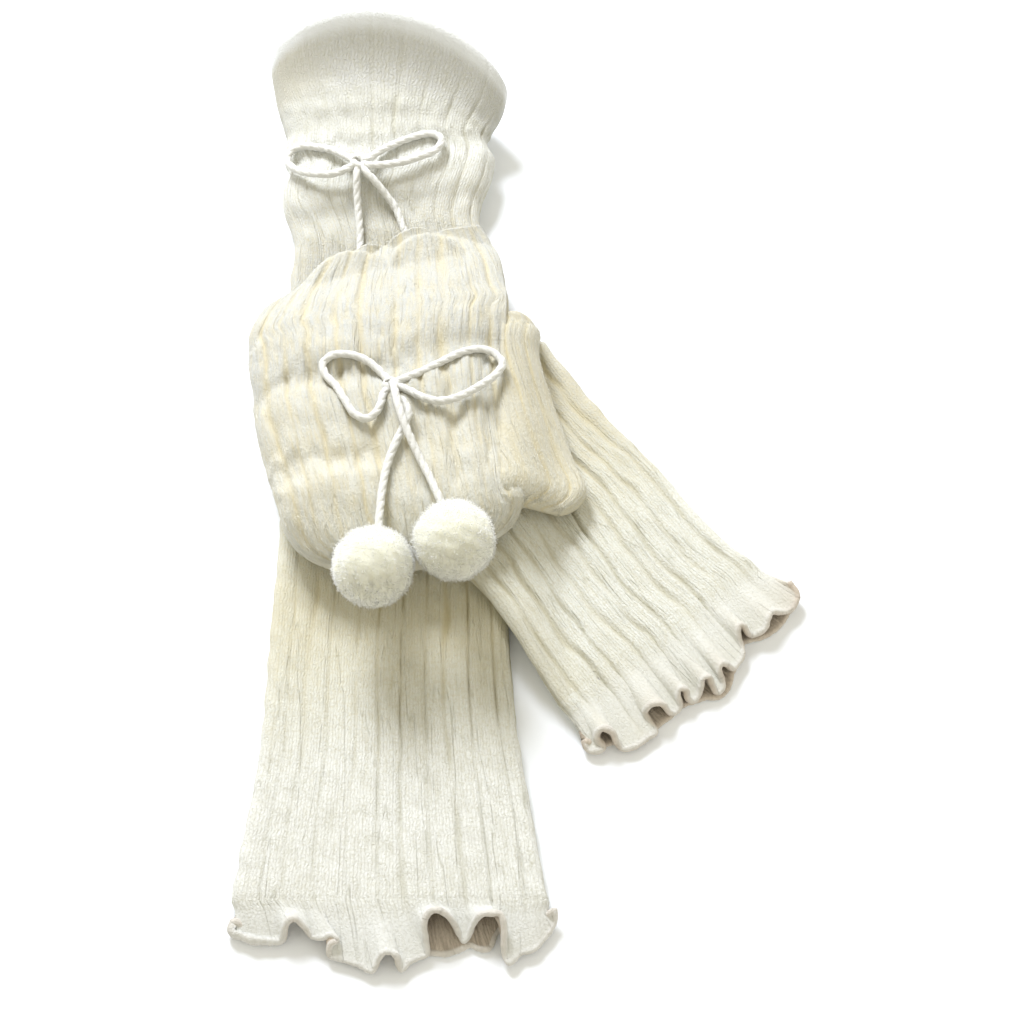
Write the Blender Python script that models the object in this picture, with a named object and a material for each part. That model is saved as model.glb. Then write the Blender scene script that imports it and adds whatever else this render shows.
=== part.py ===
"""Pair of rib-knit leg warmers with lettuce hems, drawstring bows and pompoms.

The lower one lies straight along Y.  Its near end is the ruffled hem and its far end is the
open, flared mouth.  The upper one lies across it, folded to and fro, so that its cuff lies on
top and its leg runs down to the floor on the right.

Tables are in millimetres, in a plan with X to the right and Y away from the hem.  The finished
part is in metres, with +Z up, on the middle of its own footprint.
"""
import math

import bmesh
import bpy
import numpy as np

# ---------------------------------------------------------------- driving dimensions (mm)
MM = 0.001
PLAN_CENTRE = (2.4, 22.7)       # middle of the footprint in the plan of the tables
RIBS_ROUND = 22                 # ribs round one tube
RIB_HEIGHT = 1.8                # how far a rib stands out of its valley
WALL = 2.8                      # knit wall in a valley
TUBE_HEIGHT = 9.2               # a tube that lies flat, floor to valley
SEAM = 0.3                      # gap between neighbouring pieces
LAYER = TUBE_HEIGHT + RIB_HEIGHT + SEAM
CORD = 5.5                      # drawstring
POMPOM = 40.0
HEM_WALL = 3.0
HEM_LIFT = 5.0                  # lowest middle height of the upper layer's edge
BACK_EDGE = 1.6                 # middle height of the layer that lies on the floor
DRAPE_RUN = 30.0                # how far out the upper one takes to reach the floor
EASE = 12.0                     # how far a layer on top takes to come down beside one below
LEG_TO_CUFF = 150.0             # seam between the lower one's leg and cuff, along it
INNER_SPOTS = 16                # points round the plain inside of a tube
FOLD_SPOTS = 32                 # points round the hidden layers

# ---------------------------------------------------------------- tables (mm)
# lower tube: along, left edge, right edge, slant of the row, lowest, highest, roundness
LOWER_ROWS = (
    (-213.0, -132.6, 16.5, 0.00, 0.0, 9.2, 0.0),
    (-190.0, -129.8, 12.0, 0.00, 0.0, 9.2, 0.0),
    (-136.0, -123.4, 3.0, 0.00, 0.0, 9.2, 0.0),
    (-82.0, -121.4, -2.0, 0.00, 0.0, 9.2, 0.0),
    (0.0, -119.5, -4.0, 0.00, 0.0, 9.2, 0.0),
    (80.0, -120.0, -8.0, 0.00, 0.0, 9.2, 0.0),
    (150.0, -122.4, -15.0, 0.05, 0.0, 12.0, 0.0),
    (172.0, -121.8, -19.0, 0.08, 0.0, 17.0, 0.1),
    (193.0, -127.0, -17.5, 0.04, 0.0, 28.0, 0.3),
    (213.0, -125.6, -12.8, 0.00, 0.0, 31.0, 0.4),
    (226.0, -129.8, -11.0, -0.04, 0.0, 38.0, 0.5),
    (240.0, -128.6, -11.4, -0.08, 0.0, 41.0, 0.6),
    (257.0, -135.0, -5.0, -0.13, 0.0, 46.0, 0.8),
    (270.0, -138.4, -0.6, -0.16, 0.0, 54.0, 1.0),
    (279.0, -138.6, -0.2, -0.19, 0.0, 62.0, 1.0),
)
# upper leg, from its hem: along, left edge, right edge, slant, lowest, highest, roundness
UPPER_ROWS = (
    (28.0, -63.4, 62.8, 0.00, 0.0, 9.2, 0.0),
    (50.0, -62.8, 61.8, 0.00, 0.0, 9.2, 0.0),
    (105.0, -60.0, 63.0, -0.04, 0.0, 9.2, 0.0),
    (140.0, -59.0, 61.6, -0.12, 0.0, 9.2, 0.0),
    (180.0, -60.0, 62.0, -0.26, 0.0, 9.2, 0.0),
    (215.0, -60.0, 65.0, -0.32, 0.0, 9.2, 0.0),
)
# hidden layers: left x, left y, right x, right y, lowest, highest over what is below, closing
FOLD_ROWS = (
    (-104.0, 72.5, 9.0, 117.5, -LAYER, 11.0, 1.0),
    (-106.0, 70.0, 12.2, 115.4, -LAYER, 12.0, 0.55),
    (-107.0, 65.0, 13.6, 110.6, -LAYER, 12.4, 0.0),
    (-107.0, 60.0, 12.6, 106.0, -LAYER, 12.0, 0.0),
    (-107.0, 55.0, 9.5, 100.5, 0.0, 11.0, 0.0),
    (-106.0, 36.0, 9.0, 76.0, 0.0, 10.5, 0.0),
    (-104.0, 10.0, 21.0, 44.0, 0.0, 11.0, 0.0),
    (-100.0, -2.0, 35.0, 19.0, 0.0, 12.0, 0.0),
    (-96.0, -9.0, 40.0, 6.0, 0.0, 14.0, 0.0),
    (-93.0, -14.0, 38.5, -3.0, 0.0, 15.0, 0.35),
    (-90.0, -18.0, 33.0, -10.0, 0.0, 15.0, 0.7),
    (-86.0, -20.0, 26.0, -14.0, 0.0, 15.0, 1.0),
)
# upper cuff, from its mouth: left x, left y, right x, right y, highest, closing, bulge
CUFF_ROWS = (
    (-122.5, 131.0, -12.0, 172.0, 22.5, 0.0, 0.0),
    (-127.0, 122.0, -9.0, 160.0, 27.0, 0.0, 0.0),
    (-135.0, 110.0, -5.0, 143.0, 36.0, 0.0, 0.0),
    (-139.0, 91.0, -3.6, 117.0, 46.0, 0.0, 0.0),
    (-138.0, 74.0, -2.6, 98.0, 51.0, 0.0, 0.0),
    (-135.0, 54.0, -4.0, 75.0, 51.0, 0.0, 0.0),
    (-132.5, 34.0, -3.4, 54.0, 54.0, 0.0, 0.0),
    (-128.5, 8.0, 0.0, 26.0, 52.0, 0.0, 1.0),
    (-124.5, -10.0, 3.0, 7.0, 53.0, 0.0, 3.0),
    (-122.0, -25.0, 5.0, -8.0, 51.0, 0.25, 5.0),
    (-118.0, -36.0, 5.0, -16.5, 49.5, 0.5, 7.0),
    (-110.0, -44.5, 1.0, -24.0, 49.0, 0.75, 8.5),
    (-100.0, -50.0, -4.0, -29.0, 49.0, 1.0, 9.5),
)
NOSE_MIDDLE = 31.0              # height of the foremost line of the cuff's bottom fold
SLOT_DEPTH_ROWS = 3             # rows of the cuff's mouth that stay open
SLOT_HEIGHT = 3.4
# soft creases across a top: from x, from y, to x, to y, depth, width
LOWER_CREASES = (
    (-132.0, 233.0, -8.0, 238.0, 6.0, 6.0),
    (-130.0, 213.0, -10.0, 227.0, 7.5, 6.5),
    (-128.0, 172.0, -15.0, 190.0, 4.0, 8.0),
    (-14.0, 288.0, 4.0, 256.0, 11.0, 30.0),
)
CUFF_CREASES = (
    (-138.0, 53.0, -62.0, 47.0, 8.0, 9.0),
    (-62.0, 47.0, 4.0, 77.0, 7.0, 9.0),
    (-132.0, 7.0, -57.0, -2.0, 7.0, 9.0),
    (-57.0, -2.0, -15.0, 12.0, 3.0, 10.0),
)
# front edge of a hem, right to left: across, along, height of the wall's middle
LOWER_EDGE = (
    (21.0, -221.0, 8.0), (15.0, -231.0, 5.5), (8.0, -238.0, 5.0), (-1.0, -245.0, 5.0),
    (-4.5, -237.0, 9.0), (-12.0, -228.0, 18.0), (-20.0, -229.0, 13.0), (-25.0, -233.0, 6.5),
    (-34.0, -224.0, 20.0), (-41.0, -240.0, 5.0), (-52.0, -247.0, 5.0), (-59.0, -240.0, 12.0),
    (-66.0, -248.0, 5.0), (-76.0, -245.0, 5.0), (-86.0, -243.0, 5.0), (-95.0, -235.0, 5.5),
    (-102.0, -229.0, 12.5), (-109.0, -234.0, 5.5), (-121.0, -236.0, 5.0), (-134.0, -230.0, 5.5),
)
UPPER_EDGE = (
    (68.0, 1.0, 8.0), (62.0, -6.5, 6.0), (54.0, -8.5, 6.0), (48.0, -4.0, 13.0),
    (42.0, -10.0, 5.0), (36.5, -7.5, 7.0), (31.0, -1.0, 15.0), (25.0, -3.0, 9.0),
    (20.5, -10.0, 5.0), (14.0, -10.0, 12.0), (8.0, -15.0, 5.0), (2.5, -11.0, 13.0),
    (-4.0, -17.0, 5.0), (-11.0, -8.0, 12.0), (-17.0, -13.0, 5.0), (-24.0, -11.0, 6.0),
    (-31.0, -6.0, 14.0), (-38.0, -12.0, 5.0), (-49.0, -11.0, 5.0), (-55.0, -6.0, 8.0),
    (-60.0, 0.0, 12.5), (-65.0, -3.0, 6.0), (-70.0, 3.0, 5.5),
)
# drawstring bows: middle of the knot, and routes of the cord's middle from the knot on
UPPER_KNOT = (-61.5, 44.0, 55.5)
LOWER_KNOT = (-85.0, 200.0, 37.2)
UPPER_LOOP_LEFT = (
    (-65.9, 50.2, 55.0), (-70.0, 55.0, 55.0), (-76.5, 60.0, 55.5), (-84.5, 62.5, 56.0),
    (-92.5, 62.0, 56.0), (-97.5, 57.0, 55.5), (-95.5, 50.0, 55.5), (-90.0, 43.0, 56.5),
    (-85.5, 34.5, 58.0), (-80.5, 26.0, 58.5), (-74.0, 22.5, 58.5), (-68.8, 26.5, 58.5),
    (-66.6, 32.5, 58.0), (-66.2, 38.0, 56.5),
)
UPPER_LOOP_RIGHT = (
    (-54.4, 41.4, 56.5), (-49.5, 38.0, 57.5), (-43.5, 34.5, 58.3), (-36.0, 33.0, 58.6),
    (-27.0, 35.5, 58.6), (-17.0, 42.0, 58.0), (-8.5, 49.5, 57.3), (-5.0, 57.5, 55.5),
    (-9.0, 64.5, 54.5), (-16.5, 67.2, 54.0), (-25.0, 65.5, 53.8), (-34.5, 60.5, 53.8),
    (-45.5, 53.5, 54.6), (-55.3, 48.4, 55.0),
)
UPPER_TAIL_LEFT = (
    (-58.6, 36.8, 56.2), (-54.5, 31.5, 58.6), (-52.5, 25.0, 58.8), (-55.0, 17.5, 58.4),
    (-59.7, 6.0, 57.4), (-63.2, -6.5, 57.0), (-65.0, -21.5, 57.0), (-66.0, -40.4, 56.6),
)
UPPER_TAIL_RIGHT = (
    (-60.0, 39.5, 62.6), (-58.5, 31.0, 64.6), (-55.2, 19.5, 64.6), (-51.0, 9.0, 62.3),
    (-45.5, -2.5, 59.5), (-40.3, -13.5, 59.5), (-34.0, -29.3, 60.6),
)
LOWER_LOOP_LEFT = (
    (-91.1, 204.2, 36.2), (-100.0, 211.0, 34.0), (-110.0, 214.8, 32.0), (-118.5, 216.0, 31.0),
    (-124.5, 213.0, 29.5), (-125.5, 206.0, 29.5), (-119.5, 199.0, 31.5), (-109.5, 195.0, 33.5),
    (-98.5, 194.3, 35.0), (-91.4, 196.6, 36.4),
)
LOWER_LOOP_RIGHT = (
    (-79.0, 204.0, 36.6), (-71.0, 211.0, 35.6), (-57.5, 218.5, 35.2), (-46.0, 221.5, 35.6),
    (-39.5, 217.5, 35.8), (-42.0, 210.5, 35.8), (-49.5, 206.0, 35.8), (-62.5, 201.0, 36.0),
    (-77.7, 198.4, 36.8),
)
LOWER_TAIL_LEFT = (
    (-86.0, 192.4, 36.0), (-86.0, 186.0, 31.5), (-85.5, 178.0, 26.5), (-84.5, 168.0, 22.0),
    (-84.0, 158.0, 18.6), (-84.5, 148.0, 17.3), (-85.5, 139.6, 17.2),
)
LOWER_TAIL_RIGHT = (
    (-80.5, 193.7, 36.4), (-75.6, 189.5, 33.6), (-69.5, 184.0, 28.0), (-64.5, 178.0, 24.0),
    (-60.5, 168.0, 21.0), (-57.0, 158.0, 19.0), (-52.8, 148.6, 18.4),
)
UPPER_POMPOM_LEFT = (-67.9, -59.9, 56.2)
UPPER_POMPOM_RIGHT = (-28.4, -48.4, 61.7)
# pompoms of the lower one, pressed flat under the cuff: middle, half width, half height
LOWER_POMPOM_LEFT = (-86.0, 119.0, 20.6)
LOWER_POMPOM_RIGHT = (-45.0, 129.0, 21.9)
PRESSED_HALF = (20.0, 7.0)
KNOT_HALF = (7.0, 6.7, 5.2)

MATERIALS = {
    "knit": ((0.86, 0.84, 0.75, 1.0), 0.9),
    "hem": ((0.84, 0.81, 0.72, 1.0), 0.9),
    "cord": ((0.90, 0.89, 0.83, 1.0), 0.85),
    "pompom": ((0.90, 0.89, 0.82, 1.0), 0.95),
}


# ---------------------------------------------------------------- small helpers
def smooth(share):
    share = min(max(share, 0.0), 1.0)
    return share * share * (3.0 - 2.0 * share)


def between(table, position, key=None):
    """Row of a table at a position, on smooth curves through the rows.

    The position is a value of the first column, or a row number where key is "row"."""
    rows = np.array(table, float)
    places = np.arange(len(rows), dtype=float) if key == "row" else rows[:, 0]
    spans = np.diff(places)
    rises = np.diff(rows, axis=0) / spans[:, None]
    slopes = np.vstack([rises[:1], 0.5 * (rises[1:] + rises[:-1]), rises[-1:]])
    k = int(np.clip(np.searchsorted(places, position) - 1, 0, len(rows) - 2))
    t = (position - places[k]) / spans[k]
    start, end = rows[k], rows[k + 1]
    lead_in, lead_out = slopes[k] * spans[k], slopes[k + 1] * spans[k]
    return ((2 * t**3 - 3 * t**2 + 1) * start + (t**3 - 2 * t**2 + t) * lead_in
            + (3 * t**2 - 2 * t**3) * end + (t**3 - t**2) * lead_out)


def oval(half_width, half_height, share, roundness=0.0):
    """Point and outward direction on a flattened tube's outline, right side first, then the top."""
    flat = max(half_width - half_height, 0.0)
    arc = math.pi * half_height
    walk = (share % 1.0) * (4.0 * flat + 2.0 * arc)
    if walk < arc / 2 or walk >= 4 * flat + 1.5 * arc:
        turn = (walk if walk < arc / 2 else walk - 4 * flat - 2 * arc) / half_height
        point = (flat + half_height * math.cos(turn), half_height * math.sin(turn))
        out = (math.cos(turn), math.sin(turn))
    elif walk < arc / 2 + 2 * flat:
        point, out = (flat - (walk - arc / 2), half_height), (0.0, 1.0)
    elif walk < 1.5 * arc + 2 * flat:
        turn = math.pi / 2 + (walk - arc / 2 - 2 * flat) / half_height
        point = (-flat + half_height * math.cos(turn), half_height * math.sin(turn))
        out = (math.cos(turn), math.sin(turn))
    else:
        point, out = (-flat + (walk - 1.5 * arc - 2 * flat), -half_height), (0.0, -1.0)
    angle = 2.0 * math.pi * share
    round_point = (half_width * math.cos(angle), half_height * math.sin(angle))
    mixed = [(1 - roundness) * a + roundness * b for a, b in zip(point, round_point)]
    return mixed[0], mixed[1], out[0], out[1]


def rib_spots():
    """Places round a tube: valley and two crown edges for each rib, one on the flat underside."""
    spots = []
    for rib in range(-1, RIBS_ROUND // 2 + 1):
        spots += [(rib + step) / RIBS_ROUND for step in (0.0, 0.27, 0.73)]
    spots += [rib / RIBS_ROUND for rib in range(RIBS_ROUND // 2 + 1, RIBS_ROUND - 1)]
    return spots


def rib_relief(share, out_up):
    """Height of a rib, from nothing in the valley; the underside stays flat."""
    phase = (share * RIBS_ROUND) % 1.0
    crown = smooth(min(phase, 1.0 - phase) / 0.25)
    return RIB_HEIGHT * crown * smooth((out_up + 0.45) / 0.4)


def away_from_line(x, y, x0, y0, x1, y1):
    """Distance in plan from a place to the line between two others."""
    run_x, run_y = x1 - x0, y1 - y0
    part = ((x - x0) * run_x + (y - y0) * run_y) / (run_x**2 + run_y**2)
    part = min(max(part, 0.0), 1.0)
    return math.hypot(x - x0 - part * run_x, y - y0 - part * run_y)


def trough(creases, x, y):
    """Depth of the soft creases at a place of the plan."""
    depth = 0.0
    for x0, y0, x1, y1, deep, wide in creases:
        away = away_from_line(x, y, x0, y0, x1, y1)
        depth = max(depth, deep * math.exp(-((away / wide) ** 2)))
    return depth


# ---------------------------------------------------------------- what lies under what
LEG_START = np.array([93.0, -92.0])
LEG_ALONG = np.array([-0.6392, 0.7690])
LEG_ACROSS = np.array([LEG_ALONG[1], -LEG_ALONG[0]])


def lower_top(x, y):
    """Height of the lower tube's top, falling to the floor beyond its edges."""
    row = between(LOWER_ROWS, min(max(y, LOWER_ROWS[0][0]), LOWER_ROWS[-1][0]))
    high = row[5] + RIB_HEIGHT + SEAM
    right_side = 1 - smooth((x - row[2] - 1.0) / DRAPE_RUN)
    left_side = 1 - smooth((row[1] - x - 1.0) / DRAPE_RUN)
    return high * left_side * right_side


def leg_cover(x, y):
    """1 where the upper leg lies, falling to 0 a little beyond its edges."""
    off = np.array([x, y]) - LEG_START
    along, across = float(off @ LEG_ALONG), float(off @ LEG_ACROSS)
    last = UPPER_ROWS[-1]
    end = last[0] + last[3] * (across - 0.5 * (last[1] + last[2])) + 22.0
    return ((1 - smooth((last[1] - 1.5 - across) / EASE)) * (1 - smooth((across - last[2] - 1.0) / EASE))
            * (1 - smooth((along - end) / EASE)))


def fold_place(x, y):
    """How far inside the hidden layers' outline a place is: 1 inside, 0 a little beyond it."""
    rows = np.array(FOLD_ROWS)[:, :4]
    left_edge = np.interp(y, rows[::-1, 1], rows[::-1, 0])
    right_edge = np.interp(y, rows[::-1, 3], rows[::-1, 2])
    far = rows[0, 1] + (rows[0, 3] - rows[0, 1]) / (rows[0, 2] - rows[0, 0]) * (x - rows[0, 0])
    near = rows[-1, 1] + (rows[-1, 3] - rows[-1, 1]) / (rows[-1, 2] - rows[-1, 0]) * (x - rows[-1, 0])
    return ((1 - smooth((left_edge - x) / EASE)) * (1 - smooth((x - right_edge) / EASE))
            * (1 - smooth((y - far - 4.0) / EASE)) * (1 - smooth((near - y) / EASE)))


def leg_ground(x, y):
    """Where the upper leg's underside lies: on the lower one, or on the floor."""
    return lower_top(x, y) + SEAM * min(lower_top(x, y), 1.0)


def fold_ground(x, y):
    """Where the hidden layers' underside lies."""
    return lower_top(x, y) + (LAYER + 0.5) * leg_cover(x, y)


def fold_thickness(y):
    """Thickness of the hidden layers at a place along them."""
    rows = np.array(FOLD_ROWS)
    return float(np.interp(y, 0.5 * (rows[::-1, 1] + rows[::-1, 3]), rows[::-1, 5]))


def hidden_lump(x, y):
    """How far the lower one's cord ends and pressed pompoms lift the cuff."""
    lift = 0.0
    ends = ((LOWER_POMPOM_LEFT, LOWER_TAIL_LEFT), (LOWER_POMPOM_RIGHT, LOWER_TAIL_RIGHT))
    for middle, tail in ends:
        away = math.hypot(x - middle[0], y - middle[1])
        lift = max(lift, (2 * PRESSED_HALF[1] + 2.5) * (1 - smooth((away - PRESSED_HALF[0]) / EASE)))
        for start, end in zip(tail[-4:-1], tail[-3:]):
            off = away_from_line(x, y, start[0], start[1], end[0], end[1])
            lift = max(lift, (CORD + 2.5) * (1 - smooth((off - 4.0) / EASE)))
    return lift


def cuff_ground(x, y):
    """Where the upper cuff's underside lies."""
    return hidden_lump(x, y) + fold_ground(x, y) + (fold_thickness(y) + 2.1) * fold_place(x, y)


# ---------------------------------------------------------------- mesh making
def plan_to_part(points):
    places = np.array(points, float)
    places[:, 0] -= PLAN_CENTRE[0]
    places[:, 1] -= PLAN_CENTRE[1]
    return places * MM


def material(name):
    colour, roughness = MATERIALS[name]
    finish = bpy.data.materials.get(name) or bpy.data.materials.new(name)
    finish.use_nodes = True
    shader = finish.node_tree.nodes["Principled BSDF"]
    shader.inputs["Base Color"].default_value = colour
    shader.inputs["Roughness"].default_value = roughness
    shader.inputs["Metallic"].default_value = 0.0
    finish.diffuse_color = colour
    return finish


def add_piece(name, points, faces, finish, group):
    mesh = bpy.data.meshes.new(name)
    mesh.from_pydata([tuple(p) for p in plan_to_part(points)], [], faces)
    work = bmesh.new()
    work.from_mesh(mesh)
    bmesh.ops.recalc_face_normals(work, faces=work.faces)
    bmesh.ops.triangulate(work, faces=work.faces)
    work.to_mesh(mesh)
    work.free()
    mesh.shade_smooth()
    mesh.set_sharp_from_angle(angle=math.radians(50.0))
    own = material(finish).copy()
    own.name = name
    mesh.materials.append(own)
    piece = bpy.data.objects.new(name, mesh)
    group.objects.link(piece)
    return piece


def side_faces(rings, width, start=0):
    """Quads between rings of points that each go once round."""
    faces = []
    for ring in range(rings - 1):
        for k in range(width):
            a = start + ring * width + k
            b = start + ring * width + (k + 1) % width
            faces.append((a, b, b + width, a + width))
    return faces


def rim_faces(first, first_spots, second, second_spots):
    """Triangles between two rings whose points stand at different places round the tube."""
    faces, i, j = [], 0, 0
    m, n = len(first), len(second)
    while i < m or j < n:
        next_first = first_spots[i + 1] if i + 1 < m else first_spots[0] + 1.0
        next_second = second_spots[j + 1] if j + 1 < n else second_spots[0] + 1.0
        if j >= n or (i < m and next_first <= next_second):
            faces.append((first[i % m], first[(i + 1) % m], second[j % n]))
            i += 1
        else:
            faces.append((first[i % m], second[(j + 1) % n], second[j % n]))
            j += 1
    return faces


def loft(name, outer, spots, finish, group, inner=None, inner_spots=None):
    """Closed solid through outer rings.  Inner rings hollow it from the first ring on: right
    through where there are as many of them, or else as a pocket."""
    rings, width = len(outer), len(spots)
    points = [p for ring in outer for p in ring]
    faces = side_faces(rings, width)
    last = list(range((rings - 1) * width, rings * width))
    if inner is None:
        faces += [tuple(range(width)), tuple(reversed(last))]
        return add_piece(name, points, faces, finish, group)
    start, inner_width = len(points), len(inner_spots)
    points += [p for ring in inner for p in ring]
    faces += [tuple(reversed(f)) for f in side_faces(len(inner), inner_width, start)]
    mouth = list(range(start, start + inner_width))
    end = list(range(len(points) - inner_width, len(points)))
    faces += rim_faces(list(range(width)), spots, mouth, inner_spots)
    if len(inner) == rings:
        faces += rim_faces(last, spots, end, inner_spots)
    else:
        faces += [tuple(end), tuple(reversed(last))]
    return add_piece(name, points, faces, finish, group)


def inner_places():
    return [k / INNER_SPOTS for k in range(INNER_SPOTS)]


# ---------------------------------------------------------------- the flat tubes
def tube_ring(row, spots, place, ground, creases, inset=0.0, ribbed=True):
    """One ring of a tube that lies on what is below it."""
    along, left, right, slant, low, high, roundness = row
    roundness = min(max(roundness, 0.0), 1.0)
    middle, half_width = 0.5 * (left + right), 0.5 * (right - left) - inset
    half_height = 0.5 * (high - low) - inset
    ring = []
    for share in spots:
        across, up, out_across, out_up = oval(half_width, half_height, share, roundness)
        relief = rib_relief(share, out_up) if ribbed else 0.0
        across += out_across * relief
        up += out_up * relief
        x, y = place(along + slant * across, middle + across)
        lift = ground(x, y)
        dip = trough(creases, x, y) * max(out_up, 0.0)
        ring.append((x, y, lift + 0.5 * (low + high) + up - dip))
    return ring


def tube(name, table, stations, place, group, ground=None, creases=(), open_end=True):
    ground = ground or (lambda x, y: 0.0)
    spots, inner_spots = rib_spots(), inner_places()
    rows = [between(table, station) for station in stations]
    outer = [tube_ring(row, spots, place, ground, creases) for row in rows]
    hollow = rows if open_end else rows[:-1]
    inner = [tube_ring(row, inner_spots, place, ground, creases, WALL, False) for row in hollow]
    return loft(name, outer, spots, "knit", group, inner, inner_spots)


def lower_place(along, across):
    return across, along


def upper_place(along, across):
    spot = LEG_START + along * LEG_ALONG + across * LEG_ACROSS
    return float(spot[0]), float(spot[1])


def steps(start, end, count):
    return [start + (end - start) * k / count for k in range(count + 1)]


# ---------------------------------------------------------------- lettuce hems
HEM_TOP_SPOTS = 60
HEM_BACK_SPOTS = 22
HEM_RINGS = (0.0, 0.35, 0.7, 1.0)
BACK_REACH = 9.0                # how far the floor layer's edge bows out of the line of its ends
SCALLOPS = 7
SCALLOP = 2.5


def hem(name, table, edge, place, group):
    """Ruffled end of a tube, flaring from its section at the seam to the table's edge."""
    row = between(table, table[0][0])
    out_of_end = np.array(place(0.0, 0.0)) - np.array(place(1.0, 0.0))
    seam_along = table[0][0] - SEAM
    left, right, high = row[1], row[2], row[5]
    half_width = 0.5 * (right - left) + RIB_HEIGHT - 0.5 * HEM_WALL
    half_height = 0.5 * high - 0.5 * HEM_WALL
    middle = 0.5 * (left + right)
    tip_right, tip_left = edge[0], edge[-1]
    rings = [[] for _ in HEM_RINGS]
    for k in range(HEM_TOP_SPOTS + 1):
        share = k / HEM_TOP_SPOTS
        base = oval(half_width, half_height, 0.04 + 0.42 * share)
        tip = between(edge, share * (len(edge) - 1), "row")
        for ring, part in zip(rings, HEM_RINGS):
            across = (middle + base[0]) * (1 - part) + tip[0] * part
            along = seam_along * (1 - part) + tip[1] * part
            start = 0.5 * high + base[1] + rib_relief(0.04 + 0.42 * share, 1.0) * (1 - part)
            up = start + (max(tip[2], HEM_LIFT) - start) * part**1.5
            x, y = place(along, across)
            ring.append((x, y, up))
    for k in range(HEM_BACK_SPOTS + 1):
        share = k / HEM_BACK_SPOTS
        base = oval(half_width, half_height, 0.54 + 0.42 * share)
        across_tip = tip_left[0] + (tip_right[0] - tip_left[0]) * share
        along_tip = tip_left[1] + (tip_right[1] - tip_left[1]) * share
        sweep = math.sin(math.pi * share)
        along_tip -= sweep * (BACK_REACH + SCALLOP * math.sin(2 * math.pi * SCALLOPS * share))
        for ring, part in zip(rings, HEM_RINGS):
            across = (middle + base[0]) * (1 - part) + across_tip * part
            along = seam_along * (1 - part) + along_tip * part
            x, y = place(along, across)
            ring.append((x, y, 0.5 * HEM_WALL + (BACK_EDGE - 0.5 * HEM_WALL) * part))
    width = len(rings[0])
    points = [p for ring in rings for p in ring]
    sheet = np.array(points).reshape(len(rings), width, 3)
    around = np.roll(sheet, -1, axis=1) - np.roll(sheet, 1, axis=1)
    outward = np.gradient(sheet, axis=0)
    normal = np.cross(around, outward)
    normal /= np.linalg.norm(normal, axis=2)[:, :, None]
    if normal[0, HEM_TOP_SPOTS // 2, 2] < 0:
        normal = -normal
    normal[0, :, :2] -= (normal[0, :, :2] @ out_of_end)[:, None] * out_of_end
    outer = sheet + 0.5 * HEM_WALL * normal
    inner = sheet - 0.5 * HEM_WALL * normal
    outer[:, :, 2] = np.maximum(outer[:, :, 2], 0.0)
    faces = side_faces(len(rings), width)
    start = len(points)
    faces += [tuple(reversed(f)) for f in side_faces(len(rings), width, start)]
    for ring in (0, len(rings) - 1):
        for k in range(width):
            a, b = ring * width + k, ring * width + (k + 1) % width
            rim = (a, b, b + start, a + start)
            faces.append(rim if ring else tuple(reversed(rim)))
    solid = list(outer.reshape(-1, 3)) + list(inner.reshape(-1, 3))
    return add_piece(name, solid, faces, "hem", group)


# ---------------------------------------------------------------- folded layers and cuff
THIN_END = 0.12                 # share of its thickness that a layer keeps where it rounds off
SIDE_ROUNDNESS = 0.25
LAYER_GAP = 0.5                 # between a layer and what it lies on
SLOT_INSET = 6.0                # from the cuff's side edges to its open slot
LEAST_LAYER = 8.0               # least thickness of the cuff


def slab_ring(left, right, low_of, high_of, closing, middle_of, spots, ribbed, creases, bulge=0.0):
    """Ring of a soft layer between the height below it and the height of its top.  Closing
    goes from 0, full, to 1, where the layer rounds off.  Its middle bulges towards -Y."""
    start, end = np.array(left), np.array(right)
    half_width = 0.5 * float(np.linalg.norm(end - start))
    centre = 0.5 * (start + end)
    side = (end - start) / (2 * half_width)
    keep = max(math.sqrt(max(1 - closing**2, 0.0)), THIN_END)
    x, y = centre
    half_height = min(0.5 * (high_of(x, y) - low_of(x, y)) * keep, 0.45 * half_width)
    ring = []
    for share in spots:
        across, up, out_across, out_up = oval(half_width, half_height, share, SIDE_ROUNDNESS)
        relief = rib_relief(share, out_up) if ribbed else 0.0
        across += out_across * relief
        x, y = centre + side * across
        y -= bulge * (1.0 - min((across / half_width) ** 2, 1.0))
        low, high = low_of(x, y), high_of(x, y)
        middle = middle_of(low, high)
        low = max(middle - (middle - low) * keep, low)
        high = middle + (high - middle) * keep
        lift = (up / half_height + 1) * 0.5
        dip = trough(creases, x, y) * max(out_up, 0.0) * keep
        ring.append((x, y, low + lift * (high - low) + out_up * relief - dip))
    return ring


def half_way(low, high):
    return 0.5 * (low + high)


def upper_fold(group):
    """Hidden layers: on the upper leg, and round its far turn down to the lower one."""
    spots = [k / FOLD_SPOTS for k in range(FOLD_SPOTS)]
    rings = []
    for k in range(2 * len(FOLD_ROWS) - 1):
        row = between(FOLD_ROWS, k / 2, "row")
        closing = min(max(row[6], 0.0), 1.0)
        ends = (FOLD_ROWS[k // 2][4], FOLD_ROWS[(k + 1) // 2][4])
        below = lower_top if min(ends) < 0 else fold_ground

        def low(x, y):
            return below(x, y) + LAYER_GAP - 0.1

        def high(x, y):
            return fold_ground(x, y) + row[5]

        rings.append(slab_ring(row[:2], row[2:4], low, high, closing, half_way, spots, False, ()))
    return loft("upper_fold", rings, spots, "knit", group)


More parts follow.
